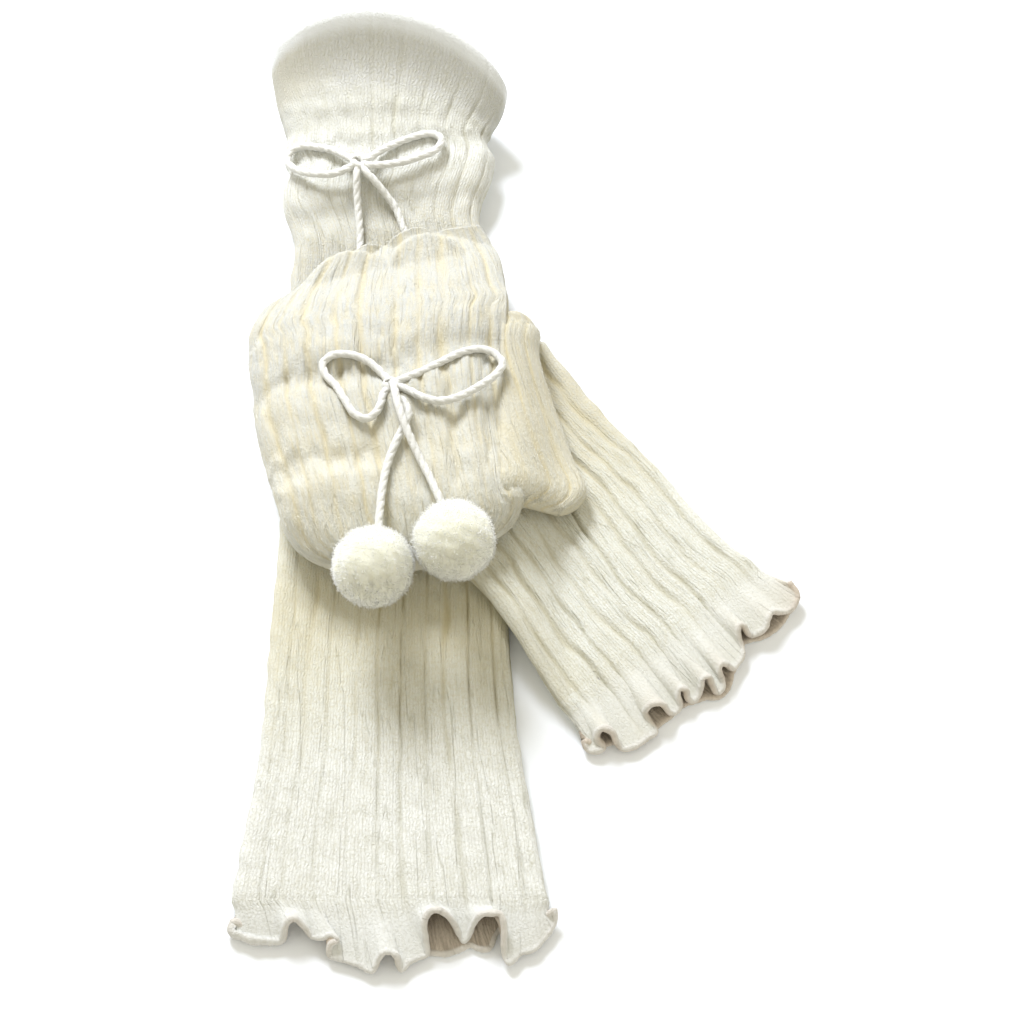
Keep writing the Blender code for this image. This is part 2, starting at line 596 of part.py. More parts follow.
def upper_cuff(group):
    """Top layer with its near turn, and a slot for the mouth at its far end."""
    spots, inner_spots = rib_spots(), inner_places()
    outer, inner = [], []
    for k in range(2 * len(CUFF_ROWS) - 1):
        row = between(CUFF_ROWS, k / 2, "row")
        closing = min(max(row[5], 0.0), 1.0)

        def bottom(x, y):
            return cuff_ground(x, y) + LAYER_GAP

        def top(x, y):
            return max(row[4], cuff_ground(x, y) + LEAST_LAYER)

        def middle(low, high):
            return half_way(low, high) * (1 - closing) + NOSE_MIDDLE * closing

        outer.append(slab_ring(row[:2], row[2:4], bottom, top, closing, middle, spots, True,
                               CUFF_CREASES, row[6]))
        if k < SLOT_DEPTH_ROWS:
            start, end = np.array(row[:2]), np.array(row[2:4])
            inset = (end - start) / np.linalg.norm(end - start) * SLOT_INSET

            def slot_low(x, y):
                return half_way(bottom(x, y), top(x, y)) - 0.5 * SLOT_HEIGHT

            def slot_high(x, y):
                return slot_low(x, y) + SLOT_HEIGHT

            inner.append(slab_ring(start + inset, end - inset, slot_low, slot_high, 0.0, half_way,
                                   inner_spots, False, ()))
    return loft("upper_cuff", outer, spots, "knit", group, inner, inner_spots)


# ---------------------------------------------------------------- drawstrings and pompoms
def cord(name, route, group):
    """Tube of the drawstring on a smooth curve through a route's points."""
    fine = [between(route, k / 12, "row") for k in range(12 * (len(route) - 1) + 1)]
    walked = np.concatenate([[0.0], np.cumsum(np.linalg.norm(np.diff(fine, axis=0), axis=1))])
    count = max(int(round(walked[-1] / (2.0 * CORD))), 3)
    places = np.linspace(0.0, walked[-1], count + 1)
    points = np.stack([np.interp(places, walked, np.array(fine)[:, axis]) for axis in range(3)], axis=1)
    curve = bpy.data.curves.new(name, "CURVE")
    curve.dimensions = "3D"
    curve.bevel_depth = 0.5 * CORD * MM
    curve.bevel_resolution = 2
    curve.use_fill_caps = True
    spline = curve.splines.new("POLY")
    spline.points.add(len(points) - 1)
    for spot, point in zip(spline.points, plan_to_part(points)):
        spot.co = (*point, 1.0)
    own = material("cord").copy()
    own.name = name
    curve.materials.append(own)
    piece = bpy.data.objects.new(name, curve)
    group.objects.link(piece)
    return piece


def ball(name, middle, halves, finish, group):
    """Plain rounded lump with three half sizes."""
    work = bmesh.new()
    bmesh.ops.create_icosphere(work, subdivisions=2, radius=1.0)
    for vert in work.verts:
        vert.co = [vert.co[axis] * halves[axis] + middle[axis] for axis in range(3)]
    points = [tuple(vert.co) for vert in work.verts]
    faces = [tuple(vert.index for vert in face.verts) for face in work.faces]
    work.free()
    return add_piece(name, points, faces, finish, group)


LOCK = 4.0                      # length of a lock of a pompom, and the widths of its two ends
LOCK_ROOT = 0.86
LOCK_END = 0.62


def pompom(name, middle, group):
    """Round core with one three-sided lock of yarn standing on each of its faces."""
    work = bmesh.new()
    bmesh.ops.create_icosphere(work, subdivisions=2, radius=0.5 * POMPOM - LOCK)
    points = [np.array(vert.co) for vert in work.verts]
    faces = []
    for face in work.faces:
        ring = [vert.index for vert in face.verts]
        centre = sum(points[i] for i in ring) / 3
        start = len(points)
        points += [centre + LOCK_ROOT * (points[i] - centre) for i in ring]
        length = 0.5 * POMPOM * (0.96 + 0.04 * math.sin(7.0 * face.index))
        ends = [centre + LOCK_END * (points[i] - centre) for i in ring]
        points += [spot / np.linalg.norm(spot) * length for spot in ends]
        for k in range(3):
            a, b = ring[k], ring[(k + 1) % 3]
            c, d = start + k, start + (k + 1) % 3
            faces += [(a, b, d, c), (c, d, d + 3, c + 3)]
        faces.append((start + 3, start + 4, start + 5))
    work.free()
    return add_piece(name, [p + np.array(middle) for p in points], faces, "pompom", group)


def bows(group):
    routes = {
        "upper_loop_left": UPPER_LOOP_LEFT, "upper_loop_right": UPPER_LOOP_RIGHT,
        "upper_tail_left": UPPER_TAIL_LEFT, "upper_tail_right": UPPER_TAIL_RIGHT,
        "lower_loop_left": LOWER_LOOP_LEFT, "lower_loop_right": LOWER_LOOP_RIGHT,
        "lower_tail_left": LOWER_TAIL_LEFT, "lower_tail_right": LOWER_TAIL_RIGHT,
    }
    for name, route in routes.items():
        cord(name, route, group)
    ball("upper_knot", UPPER_KNOT, KNOT_HALF, "cord", group)
    ball("lower_knot", LOWER_KNOT, KNOT_HALF, "cord", group)
    pompom("upper_pompom_left", UPPER_POMPOM_LEFT, group)
    pompom("upper_pompom_right", UPPER_POMPOM_RIGHT, group)
    pressed = (PRESSED_HALF[0], PRESSED_HALF[0], PRESSED_HALF[1])
    ball("lower_pompom_left", LOWER_POMPOM_LEFT, pressed, "pompom", group)
    ball("lower_pompom_right", LOWER_POMPOM_RIGHT, pressed, "pompom", group)


# ---------------------------------------------------------------- scene clearing and assembly
def collection(name):
    group = bpy.data.collections.new(name)
    bpy.context.scene.collection.children.link(group)
    return group


def build():
    for thing in list(bpy.data.objects):
        bpy.data.objects.remove(thing, do_unlink=True)
    group = collection("leg_warmers")
    mouth, upper_hem_seam, upper_turn = LOWER_ROWS[-1][0] + 1.0, UPPER_ROWS[0][0], UPPER_ROWS[-1][0]
    leg_steps = steps(LOWER_ROWS[0][0], LEG_TO_CUFF, 11)
    tube("lower_leg", LOWER_ROWS, leg_steps, lower_place, group)
    cuff_steps = steps(LEG_TO_CUFF + SEAM, mouth, 15)
    tube("lower_cuff", LOWER_ROWS, cuff_steps, lower_place, group, creases=LOWER_CREASES)
    hem("lower_hem", LOWER_ROWS, LOWER_EDGE, lower_place, group)
    upper_steps = steps(upper_hem_seam, upper_turn, 12)
    tube("upper_leg", UPPER_ROWS, upper_steps, upper_place, group, leg_ground, (), False)
    hem("upper_hem", UPPER_ROWS, UPPER_EDGE, upper_place, group)
    upper_fold(group)
    upper_cuff(group)
    bows(group)


build()
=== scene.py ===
"""Pair of rib-knit leg warmers, dressed: real knit, lettuce hems, twisted drawstrings, pompoms.

Tables are in millimetres, in a plan with X to the right and Y away from the hem, as the solids
are.  Every piece is made in that plan and then moved onto the middle of the pair's footprint.
"""
import math

import bpy
import numpy as np
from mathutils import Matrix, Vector


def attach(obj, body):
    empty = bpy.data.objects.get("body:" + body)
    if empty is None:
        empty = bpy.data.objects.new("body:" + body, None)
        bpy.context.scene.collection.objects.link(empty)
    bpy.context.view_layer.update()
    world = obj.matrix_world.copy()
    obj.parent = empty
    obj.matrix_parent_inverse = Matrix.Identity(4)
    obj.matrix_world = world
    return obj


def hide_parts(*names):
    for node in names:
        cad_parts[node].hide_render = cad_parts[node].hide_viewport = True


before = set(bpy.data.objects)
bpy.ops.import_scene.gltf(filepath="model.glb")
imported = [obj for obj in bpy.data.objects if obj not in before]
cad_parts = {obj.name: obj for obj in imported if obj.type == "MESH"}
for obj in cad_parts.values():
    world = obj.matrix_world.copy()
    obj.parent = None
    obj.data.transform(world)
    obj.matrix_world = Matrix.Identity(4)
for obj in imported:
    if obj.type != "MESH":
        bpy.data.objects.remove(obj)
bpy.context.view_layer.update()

# ---------------------------------------------------------------- driving dimensions (mm)
MM = 0.001
PLAN_CENTRE = np.array([2.4, 22.7, 0.0])
RIBS_ROUND = 22                 # ribs round one tube
RIB_HEIGHT = 1.8                # depth of the valleys between ribs
POINTS_PER_RIB = 16
STITCHES_PER_RIB = 4            # columns of stitches on a rib
STITCH_ROW = 2.3                # height of one row of stitches
WALL = 2.8                      # from the outside of the cloth to its inside
TUBE_HEIGHT = 9.2
SEAM = 0.3                      # room between two tubes
LAYER = TUBE_HEIGHT + RIB_HEIGHT + SEAM
CORD = 5.5
POMPOM = 40.0
DRAPE_RUN = 30.0                # over which a layer falls to the floor beside the lower tube
EASE = 12.0                     # over which a layer comes down beside what it covers
BEAD = 1.6                      # half thickness of the overlocked edge of a hem
ROLL = 6.5                      # half thickness of the rolled rim of the lower one's mouth

# ---------------------------------------------------------------- tables (mm)
# lower tube: along, left edge, right edge, slant of the row, highest, roundness
LOWER_ROWS = (
    (-213, -132.6, 16.5, 0, 9.2, 0),
    (-190, -129.8, 12, 0, 9.2, 0),
    (-136, -123.4, 3, 0, 9.2, 0),
    (-82, -121.4, -2, 0, 9.2, 0),
    (0, -119.5, -4, 0, 9.2, 0),
    (80, -120, -8, 0, 9.2, 0),
    (148, -121.5, -14, 0.05, 12, 0),
    (163, -119.8, -16.5, 0.07, 16.5, 0.1),
    (176, -122.6, -19.5, 0.07, 20.5, 0.15),
    (188, -127.6, -18, 0.04, 25, 0.3),
    (198, -127.2, -14.5, 0.02, 28, 0.35),
    (207, -124.6, -12.5, 0.01, 30.5, 0.4),
    (216, -128, -11, 0, 33, 0.45),
    (228, -126.8, -15, -0.04, 36, 0.5),
    (238, -128.8, -15, -0.07, 38, 0.6),
    (248, -130.8, -13.5, -0.1, 40, 0.75),
    (257, -133.2, -11, -0.12, 44, 0.9),
    (265, -135.2, -7.5, -0.14, 51, 1),
    (272, -136.8, -4.5, -0.155, 60, 1),
    (277, -137.5, -3.2, -0.16, 67, 1),
)
MOUTH_BOW = 17.5                # how far the sides of the mouth lie back from its middle
# leg of the folded one, from its hem: along, left edge, right edge, slant, highest, roundness
UPPER_ROWS = (
    (28, -65.5, 60.5, 0, 9.2, 0),
    (50, -63.5, 57, 0, 9.2, 0),
    (80, -59.5, 58, 0, 9.2, 0),
    (105, -58, 59.5, -0.04, 9.2, 0),
    (140, -58, 59, -0.12, 9.2, 0),
    (180, -60, 61, -0.26, 9.2, 0),
    (215, -60, 64, -0.32, 9.2, 0),
)
# hidden layers: left x, left y, right x, right y, highest over what is below, closing
FOLD_ROWS = (
    (-104, 70.5, 5.5, 106, 11, 1),
    (-106, 68, 10, 104.5, 12, 0.55),
    (-107, 63.5, 12.5, 101.5, 12.4, 0),
    (-107, 59, 14, 98.5, 12, 0),
    (-107, 54.5, 14.5, 94.5, 11.5, 0),
    (-106, 36, 14.5, 77, 11, 0),
    (-104, 10, 24.5, 42, 12, 0),
    (-100, -2, 32, 19, 13, 0),
    (-96, -9, 37.5, 6, 14, 0),
    (-93, -14, 37.5, -2, 15, 0.35),
    (-90, -18, 32, -9, 15, 0.7),
    (-86, -20, 24, -13.5, 15, 1),
)
LOBE_RISE = 14.0                # how much the shown side of the hidden layers puffs up by the cuff
# upper cuff, from its mouth: left x, left y, right x, right y, highest, closing, bulge
CUFF_ROWS = (
    (-121, 127, -16.5, 164, 23.5, 0, -7),
    (-126.5, 119.5, -11.5, 155, 28, 0, -5),
    (-134.5, 109, -6.8, 141, 36, 0, -2),
    (-139, 91, -3.6, 117, 46, 0, 0),
    (-138, 74, -2.6, 98, 51, 0, 0),
    (-135, 54, -4, 75, 51, 0, 0),
    (-132.5, 34, -3.4, 54, 54, 0, 0),
    (-125.5, 8, 0, 26, 52, 0, 1),
    (-119.5, -10, 3, 7, 53, 0, 3),
    (-115.5, -24, 5, -8, 51, 0.25, 5),
    (-110, -33.5, 5, -16.5, 49.5, 0.5, 7),
    (-102.5, -41, 1, -24, 49, 0.75, 9),
    (-92.5, -46.5, -4, -29, 49, 1, 10.5),
)
NOSE_MIDDLE = 31.0              # height of the middle of the cuff's near turn
# soft creases: from x, from y, to x, to y, depth, width (a depth below nothing is a ridge)
LOWER_CREASES = (
    (-132, 231, -8, 236, 1.3, 8),
    (-130, 211, -10, 225, 1.8, 8),
    (-128, 172, -15, 190, 2, 9),
)
CUFF_CREASES = (
    (-140, 43, -104, 52, 3.6, 8),
    (-104, 52, -60, 56, 3.6, 8),
    (-60, 56, -36, 70, 2.2, 9),
    (-36, 70, 6, 76, 1.4, 9),
    (-106, 69, -74, 71, -1.4, 9),
    (-52, 72, -34, 87, -1.2, 9),
    (-34, 87, -4, 92, -1, 10),
    (-136, -6, -104, 2, 3.8, 8),
    (-104, 2, -72, 6, 3.6, 8),
    (-72, 6, -56, -1, 2, 9),
    (-130, -16, -84, -9, -1.4, 9),
    (-50, 40, -44, -12, 2.2, 5),
    (-32, 60, -27, -8, 2.6, 5),
    (-14, 62, -10, 4, 2.6, 5),
    (-124, 40, -120, 12, 2.2, 5),
    (-100, 118, -96, 78, 1.6, 5),
    (-60, 130, -56, 84, 1.6, 5),
    (-28, 140, -24, 100, 1.6, 5),
)
# front edge of a hem, right to left: across, along, height of the bead's middle
LOWER_EDGE = (
    (20, -217.8, 8), (20.3, -221.5, 5), (17.8, -226.5, 4), (14.4, -231, 3.8), (10.2, -235.4, 3.8),
    (4, -237.3, 3.8), (1.2, -239.8, 3.8), (-1.4, -242, 3.8), (-3.2, -239, 4.5), (-3.8, -234, 8),
    (-3.6, -228.5, 12), (-5.2, -222.5, 15.5), (-10, -221.6, 15), (-14.6, -222, 14), (-18, -224.6, 9.5),
    (-20.6, -229, 5), (-22.6, -231.6, 4), (-24.6, -229, 5), (-27.6, -224.6, 10.5), (-31.2, -221.8, 14.5),
    (-35.2, -220.6, 17), (-39.5, -222, 15.5), (-41.2, -226, 13), (-40.6, -232.5, 7.5), (-40.2, -237.6, 4),
    (-43.8, -239.4, 3.8), (-48.6, -241.6, 3.8), (-52.1, -245.4, 3.8), (-53.2, -243, 5.2),
    (-53.8, -240.4, 8), (-56.8, -238.8, 10), (-60.4, -238.9, 9.8), (-62.8, -241.2, 7), (-65.6, -245.8, 3.8),
    (-70.6, -243.4, 3.8), (-78.4, -240.7, 3.8), (-82.6, -239.6, 3.8), (-86, -238, 4.4),
    (-85.4, -234.4, 7.5), (-81.8, -232.4, 9.5), (-84, -230.4, 9.5), (-89.4, -231, 7.5), (-94.4, -229.6, 6),
    (-98.1, -226, 9.5), (-103.3, -223.2, 13), (-106.8, -226, 10.5), (-107.9, -229.4, 6), (-109, -231, 4),
    (-113, -231.2, 3.8), (-121, -230.4, 3.8), (-128, -228.2, 3.8), (-132.4, -225.4, 4.2),
    (-131.6, -222.4, 5.5),
)
UPPER_EDGE = (
    (67.4, 4.6, 9), (67.1, -1.3, 7), (62.4, -5.7, 6), (56.6, -5.9, 6), (52.2, -4.3, 8), (48.3, -2.8, 11),
    (44.4, -4, 11), (41.4, -6.1, 9), (37.6, -6, 7), (33.7, -4.4, 6), (32.1, -2.1, 8), (32, 0.5, 11),
    (30.1, 2.2, 12), (27.4, -0.2, 10), (25.6, -4.9, 6), (22.6, -9.1, 5), (18.1, -11, 5), (13.5, -11.4, 6),
    (11.2, -8.9, 10), (8.6, -7.8, 12), (6, -9.5, 10), (5.2, -13, 6), (2.5, -16.2, 4.5), (-0.8, -15.4, 4),
    (-0.8, -11.9, 8), (-0.4, -9, 11), (-3.1, -7.4, 11), (-5.7, -9.2, 8), (-8.4, -11, 5), (-13.3, -11.3, 4),
    (-14.8, -8.9, 7), (-13.6, -6.6, 10), (-15.2, -4.5, 11), (-18.2, -5.8, 9), (-19.7, -9.3, 5),
    (-24.9, -10.1, 4), (-27.1, -8.5, 7), (-27.8, -5.9, 11), (-30.4, -3.4, 13), (-34.2, -1.8, 12),
    (-36.9, -2.2, 8), (-37.2, -6.6, 5), (-37.5, -10.7, 4), (-43.6, -11.7, 3.8), (-52.5, -10.6, 3.8),
    (-56.7, -7.8, 3.8), (-57.2, -3.7, 6), (-56.7, -0.7, 10), (-58.6, 3.3, 12), (-61.7, 4.9, 10),
    (-64, 2.8, 7), (-63.4, -1.2, 4.5), (-66.5, -1, 3.8), (-70, 3.3, 3.8), (-69.2, 6.6, 5.5),
)
# edge of a hem's back layer, left to right: across, along
UPPER_BACK = (
    (-63.5, 1), (-58, -1.5), (-51, -5), (-43, -8), (-35, -9.3), (-27, -9.6), (-18, -9), (-12, -11.3),
    (-6, -13.5), (-1, -17.3), (3, -17.6), (8, -15.8), (13.6, -11.8), (19.6, -9.6), (24.5, -6.2),
    (29.5, -3.2), (35, -5.7), (42, -8), (51, -7.8), (58, -5.6), (63.8, -4.5), (67, 0.5),
)
LOWER_BACK = (
    (-121.8, -226), (-107.8, -222.5), (-100.8, -219), (-86.3, -226), (-76.6, -232.5), (-64.7, -236),
    (-55.3, -234), (-43.4, -236.3), (-37.3, -236.7), (-31.6, -237.2), (-25.5, -235.4), (-19.5, -232.8),
    (-15.6, -234.6), (-10.9, -234.6), (-8.8, -229.5), (-5.7, -225.2), (0, -226.5), (8.5, -224.2),
    (15.7, -220.4),
)
# drawstring bows: middle of the knot, and routes of the cord's middle from the knot on
UPPER_KNOT = (-61.5, 44.0, 55.5)
LOWER_KNOT = (-85.0, 200.0, 37.2)
UPPER_LOOP_LEFT = (
    (-62.4, 45.4, 55.6), (-65.9, 50.2, 55), (-70, 55, 55), (-76.5, 60, 55.5), (-84.5, 62.5, 56),
    (-92.5, 62, 56), (-97.5, 57, 55.5), (-95.5, 50, 55.5), (-90, 43, 56.5), (-85.5, 34.5, 58),
    (-80.5, 26, 58.5), (-74, 22.5, 58.5), (-68.8, 26.5, 58.5), (-66.6, 32.5, 58), (-65.8, 38, 56.5),
    (-63, 42.4, 56),
)
UPPER_LOOP_RIGHT = (
    (-59.6, 43.4, 56), (-54.4, 41.4, 56.5), (-49.5, 38, 57.5), (-43.5, 34.5, 58.3), (-36, 33, 58.6),
    (-27, 35.5, 58.4), (-17, 42.5, 57), (-8.5, 51, 54.6), (-5, 59, 52.6), (-9, 65.5, 52), (-16.5, 68, 52.4),
    (-25, 66, 53), (-34.5, 60.5, 53.8), (-45.5, 53.5, 54.6), (-55.3, 48.4, 55.2), (-60, 45.4, 55.6),
)
UPPER_TAIL_LEFT = (
    (-61, 41.8, 56.4), (-58.6, 36.8, 56.8), (-54.5, 31.5, 58.6), (-52.5, 25, 58.8), (-55, 17.5, 58.4),
    (-59.7, 6, 57.4), (-63.2, -6.5, 57), (-65, -21.5, 57), (-66, -40.4, 56.6),
)
UPPER_TAIL_RIGHT = (
    (-61.2, 43.4, 59.4), (-60, 39.5, 61.8), (-58.5, 31, 64.6), (-55.2, 19.5, 64.6), (-51, 9, 62.3),
    (-45.5, -2.5, 59.5), (-40.3, -13.5, 59.5), (-34, -29.3, 60.6),
)
LOWER_LOOP_LEFT = (
    (-87, 201.4, 36.8), (-91.1, 204.2, 36.2), (-100, 211, 34), (-110, 214.8, 32), (-118.5, 216, 31),
    (-124.5, 213, 29.5), (-125.5, 206, 29.5), (-119.5, 199, 31.5), (-109.5, 195, 33.5), (-98.5, 194.3, 35),
    (-91.4, 196.6, 36.4), (-87, 199, 36.9),
)
LOWER_LOOP_RIGHT = (
    (-83.2, 201.2, 37), (-79, 204, 36.6), (-71, 211, 35.6), (-57.5, 218.5, 35.2), (-46, 221.5, 35.6),
    (-39.5, 217.5, 35.8), (-42, 210.5, 35.8), (-49.5, 206, 35.8), (-62.5, 201, 36), (-77.7, 198.4, 36.8),
    (-82.8, 199.2, 37),
)
LOWER_TAIL_LEFT = (
    (-85.6, 197.8, 37), (-86, 192.4, 36), (-86, 186, 31.5), (-85.5, 178, 26.5), (-84.5, 168, 22),
    (-84, 158, 18.6), (-84.5, 148, 17.3), (-85.5, 139.6, 17.2),
)
LOWER_TAIL_RIGHT = (
    (-83.8, 197.6, 37.2), (-80.5, 193.7, 36.4), (-75.6, 189.5, 33.6), (-69.5, 184, 28), (-64.5, 178, 24),
    (-60.5, 168, 21), (-57, 158, 19), (-52.8, 148.6, 18.4),
)
UPPER_POMPOM_LEFT = (-67.9, -59.9, 56.2)
UPPER_POMPOM_RIGHT = (-28.4, -48.4, 61.7)
LOWER_POMPOM_LEFT = (-86.0, 119.0, 20.6)
LOWER_POMPOM_RIGHT = (-45.0, 129.0, 21.9)
PRESSED_HALF = (20.0, 7.0)


# ---------------------------------------------------------------- camera and light
LENS = 73.5
CAMERA_AWAY = 1.10
CAMERA_ANGLE = math.radians(62.0)   # above the floor
AIM = Vector((-0.0024, -0.0227, 0.0))
LIGHTS = (                      # name, place, size, power, colour
    ("window", (-0.40, 0.90, 0.92), 0.50, 23.5, (0.955, 0.99, 1.08)),
    ("bounce", (0.9, -0.5, 0.8), 0.9, 1.5, (0.97, 0.98, 1.0)),
)
SKY = (1.0, 0.95, 0.80, 1.0)
SKY_STRENGTH = 0.80
FLOOR = (0.90, 0.93, 0.98, 1.0)


def placed(name, data, place, aim):
    """Camera or lamp at a place, turned to its aim."""
    thing = bpy.data.objects.new(name, data)
    thing.location = place
    thing.rotation_mode = "QUATERNION"
    thing.rotation_quaternion = (Vector(aim) - Vector(place)).to_track_quat("-Z", "Y")
    bpy.context.scene.collection.objects.link(thing)
    return thing


def camera():
    """Seen from above the hem end, as in the photograph."""
    data = bpy.data.cameras.new("camera")
    data.sensor_width = 36.0
    data.lens = LENS
    away = Vector((0.0, -math.cos(CAMERA_ANGLE), math.sin(CAMERA_ANGLE)))
    bpy.context.scene.camera = placed("camera", data, AIM + CAMERA_AWAY * away, AIM)


def studio():
    """Pale floor and soft light, mostly from behind and to the left."""
    scene = bpy.context.scene
    scene.view_settings.view_transform = "Standard"
    scene.view_settings.look = "None"
    world = bpy.data.worlds.new("studio")
    world.use_nodes = True
    sky = world.node_tree.nodes["Background"].inputs
    sky["Color"].default_value = SKY
    sky["Strength"].default_value = SKY_STRENGTH
    scene.world = world
    for name, place, size, power, colour in LIGHTS:
        data = bpy.data.lights.new(name, "AREA")
        data.shape = "DISK"
        data.size = size
        data.energy = power
        data.color = colour
        placed(name, data, place, (0.0, 0.0, 0.0))
    mesh = bpy.data.meshes.new("floor")
    mesh.from_pydata([(-6, -6, 0), (6, -6, 0), (6, 6, 0), (-6, 6, 0)], [], [(0, 1, 2, 3)])
    floor = bpy.data.objects.new("floor", mesh)
    scene.collection.objects.link(floor)
    pale = bpy.data.materials.new("pale_floor")
    pale.use_nodes = True
    shader = pale.node_tree.nodes["Principled BSDF"].inputs
    shader["Base Color"].default_value = FLOOR
    shader["Roughness"].default_value = 0.8
    mesh.materials.append(pale)


# ---------------------------------------------------------------- small helpers
def smooth(share):
    """From 0 to 1 with soft ends."""
    share = np.clip(share, 0.0, 1.0)
    return share * share * (3.0 - 2.0 * share)


def unit(vectors):
    return vectors / np.maximum(np.linalg.norm(vectors, axis=-1, keepdims=True), 1e-9)


def square_to(vectors, directions):
    """What is left of vectors across unit directions."""
    return vectors - (vectors * directions).sum(axis=-1, keepdims=True) * directions


def way_along(points):
    """Distance of each point along the line through all of them."""
    return np.concatenate([[0.0], np.cumsum(np.linalg.norm(np.diff(points, axis=0), axis=1))])


def between(table, position, key=None):
    """Rows of a table at one or more positions, on smooth curves through the rows.

    A position is a value of the first column, or a row number where key is "row"."""
    rows = np.array(table, float)
    places = np.arange(len(rows), dtype=float) if key == "row" else rows[:, 0]
    spans = np.diff(places)
    rises = np.diff(rows, axis=0) / spans[:, None]
    slopes = np.vstack([rises[:1], 0.5 * (rises[1:] + rises[:-1]), rises[-1:]])
    at = np.asarray(position, float)
    k = np.clip(np.searchsorted(places, at) - 1, 0, len(rows) - 2)
    span = spans[k][..., None]
    t = (at - places[k])[..., None] / span
    return ((2 * t**3 - 3 * t**2 + 1) * rows[k] + (t**3 - 2 * t**2 + t) * slopes[k] * span
            + (3 * t**2 - 2 * t**3) * rows[k + 1] + (t**3 - t**2) * slopes[k + 1] * span)


def oval(half_width, half_height, share, roundness=0.0):
    """Points and outward directions on a flattened tube's outline, right side first, then the top."""
    flat = max(half_width - half_height, 0.0)
    arc = math.pi * half_height
    walk = (share % 1.0) * (4.0 * flat + 2.0 * arc)
    stretches = [walk < arc / 2, walk < arc / 2 + 2 * flat, walk < 1.5 * arc + 2 * flat,
                 walk < 1.5 * arc + 4 * flat]
    turn = np.select(stretches, [
        walk / half_height, 0.5 * math.pi,
        0.5 * math.pi + (walk - arc / 2 - 2 * flat) / half_height, 1.5 * math.pi,
    ], (walk - 4 * flat - 2 * arc) / half_height)
    slide = np.select(stretches, [
        flat, flat - (walk - arc / 2), -flat, -flat + (walk - 1.5 * arc - 2 * flat)], flat)
    out_across, out_up = np.cos(turn), np.sin(turn)
    angle = 2.0 * math.pi * share
    across = (1 - roundness) * (slide + half_height * out_across) + roundness * half_width * np.cos(angle)
    up = (1 - roundness) * half_height * out_up + roundness * half_height * np.sin(angle)
    return across, up, out_across, out_up


def waves(seed, *axes):
    """Smooth uneven field between about -1 and 1; each axis is given in units of its own size."""
    dice = np.random.default_rng(seed)
    total = 0.0
    for _ in range(7):
        turn = dice.normal(size=len(axes))
        turn *= dice.uniform(0.6, 1.5) * 2.0 * math.pi / np.linalg.norm(turn)
        total = total + np.sin(sum(t * axis for t, axis in zip(turn, axes)) + dice.uniform(0, 6.28))
    return total / 3.0


def ball_waves(seed, points, scale):
    """The same uneven field at points of a ball of half size 1."""
    return waves(seed, *(points[..., axis] * scale for axis in range(3)))


def away_from_line(x, y, x0, y0, x1, y1):
    run_x, run_y = x1 - x0, y1 - y0
    part = ((x - x0) * run_x + (y - y0) * run_y) / (run_x**2 + run_y**2)
    part = np.clip(part, 0.0, 1.0)
    return np.hypot(x - x0 - part * run_x, y - y0 - part * run_y)


def trough(creases, x, y):
    """Depth of the soft creases at places of the plan: the deepest crease and the highest ridge.

    A crease across the tube is steep on its far side, where the cloth puffs over it."""
    if not creases:
        return np.zeros_like(x)
    x = x + 1.2 * waves(91, x / 11.0, y / 19.0)
    y = y + 1.8 * waves(92, x / 9.0, y / 30.0)
    uneven = 1.0 + 0.22 * waves(93, x / 10.0, y / 40.0)
    depth, ridge = np.zeros_like(x), np.zeros_like(x)
    for x0, y0, x1, y1, deep, wide in creases:
        run = math.hypot(x1 - x0, y1 - y0)
        across = max(abs(x1 - x0) / run - abs(y1 - y0) / run, 0.0)
        beyond = ((x1 - x0) * (y - y0) - (y1 - y0) * (x - x0)) * (1 if x1 > x0 else -1) / run
        width = wide * (1.0 - 0.42 * across * np.tanh(beyond / 3.0))
        dip = deep * uneven * np.exp(-((away_from_line(x, y, x0, y0, x1, y1) / width) ** 2))
        depth = np.maximum(depth, dip)
        ridge = np.minimum(ridge, dip)
    return depth + ridge


# ---------------------------------------------------------------- what lies under what
LEG_START = np.array([93.0, -92.0])
LEG_ALONG = np.array([-0.6392, 0.7690])
LEG_ACROSS = np.array([LEG_ALONG[1], -LEG_ALONG[0]])
LEG_TURN = 22.0                 # how far the leg's far turn reaches beyond its last row
SLACK = 2.5                     # room over a hidden cord or pompom
FOLD_COVER = 2.1                # room over the hidden layers


def lower_top(x, y):
    """Height of the lower tube's top, falling to the floor beyond its edges."""
    row = between(LOWER_ROWS, np.clip(y, LOWER_ROWS[0][0], LOWER_ROWS[-1][0]))
    high = row[..., 4] + RIB_HEIGHT + SEAM
    right_side = 1 - smooth((x - row[..., 2] - 1.0) / DRAPE_RUN)
    left_side = 1 - smooth((row[..., 1] - x - 1.0) / DRAPE_RUN)
    return high * left_side * right_side


def leg_cover(x, y):
    """1 where the upper leg lies, falling to 0 a little beyond its edges."""
    off_x, off_y = x - LEG_START[0], y - LEG_START[1]
    along = off_x * LEG_ALONG[0] + off_y * LEG_ALONG[1]
    across = off_x * LEG_ACROSS[0] + off_y * LEG_ACROSS[1]
    last = UPPER_ROWS[-1]
    end = last[0] + last[3] * (across - 0.5 * (last[1] + last[2])) + LEG_TURN
    return ((1 - smooth((last[1] - 1.5 - across) / EASE)) * (1 - smooth((across - last[2] - 1.0) / EASE))
            * (1 - smooth((along - end) / EASE)))


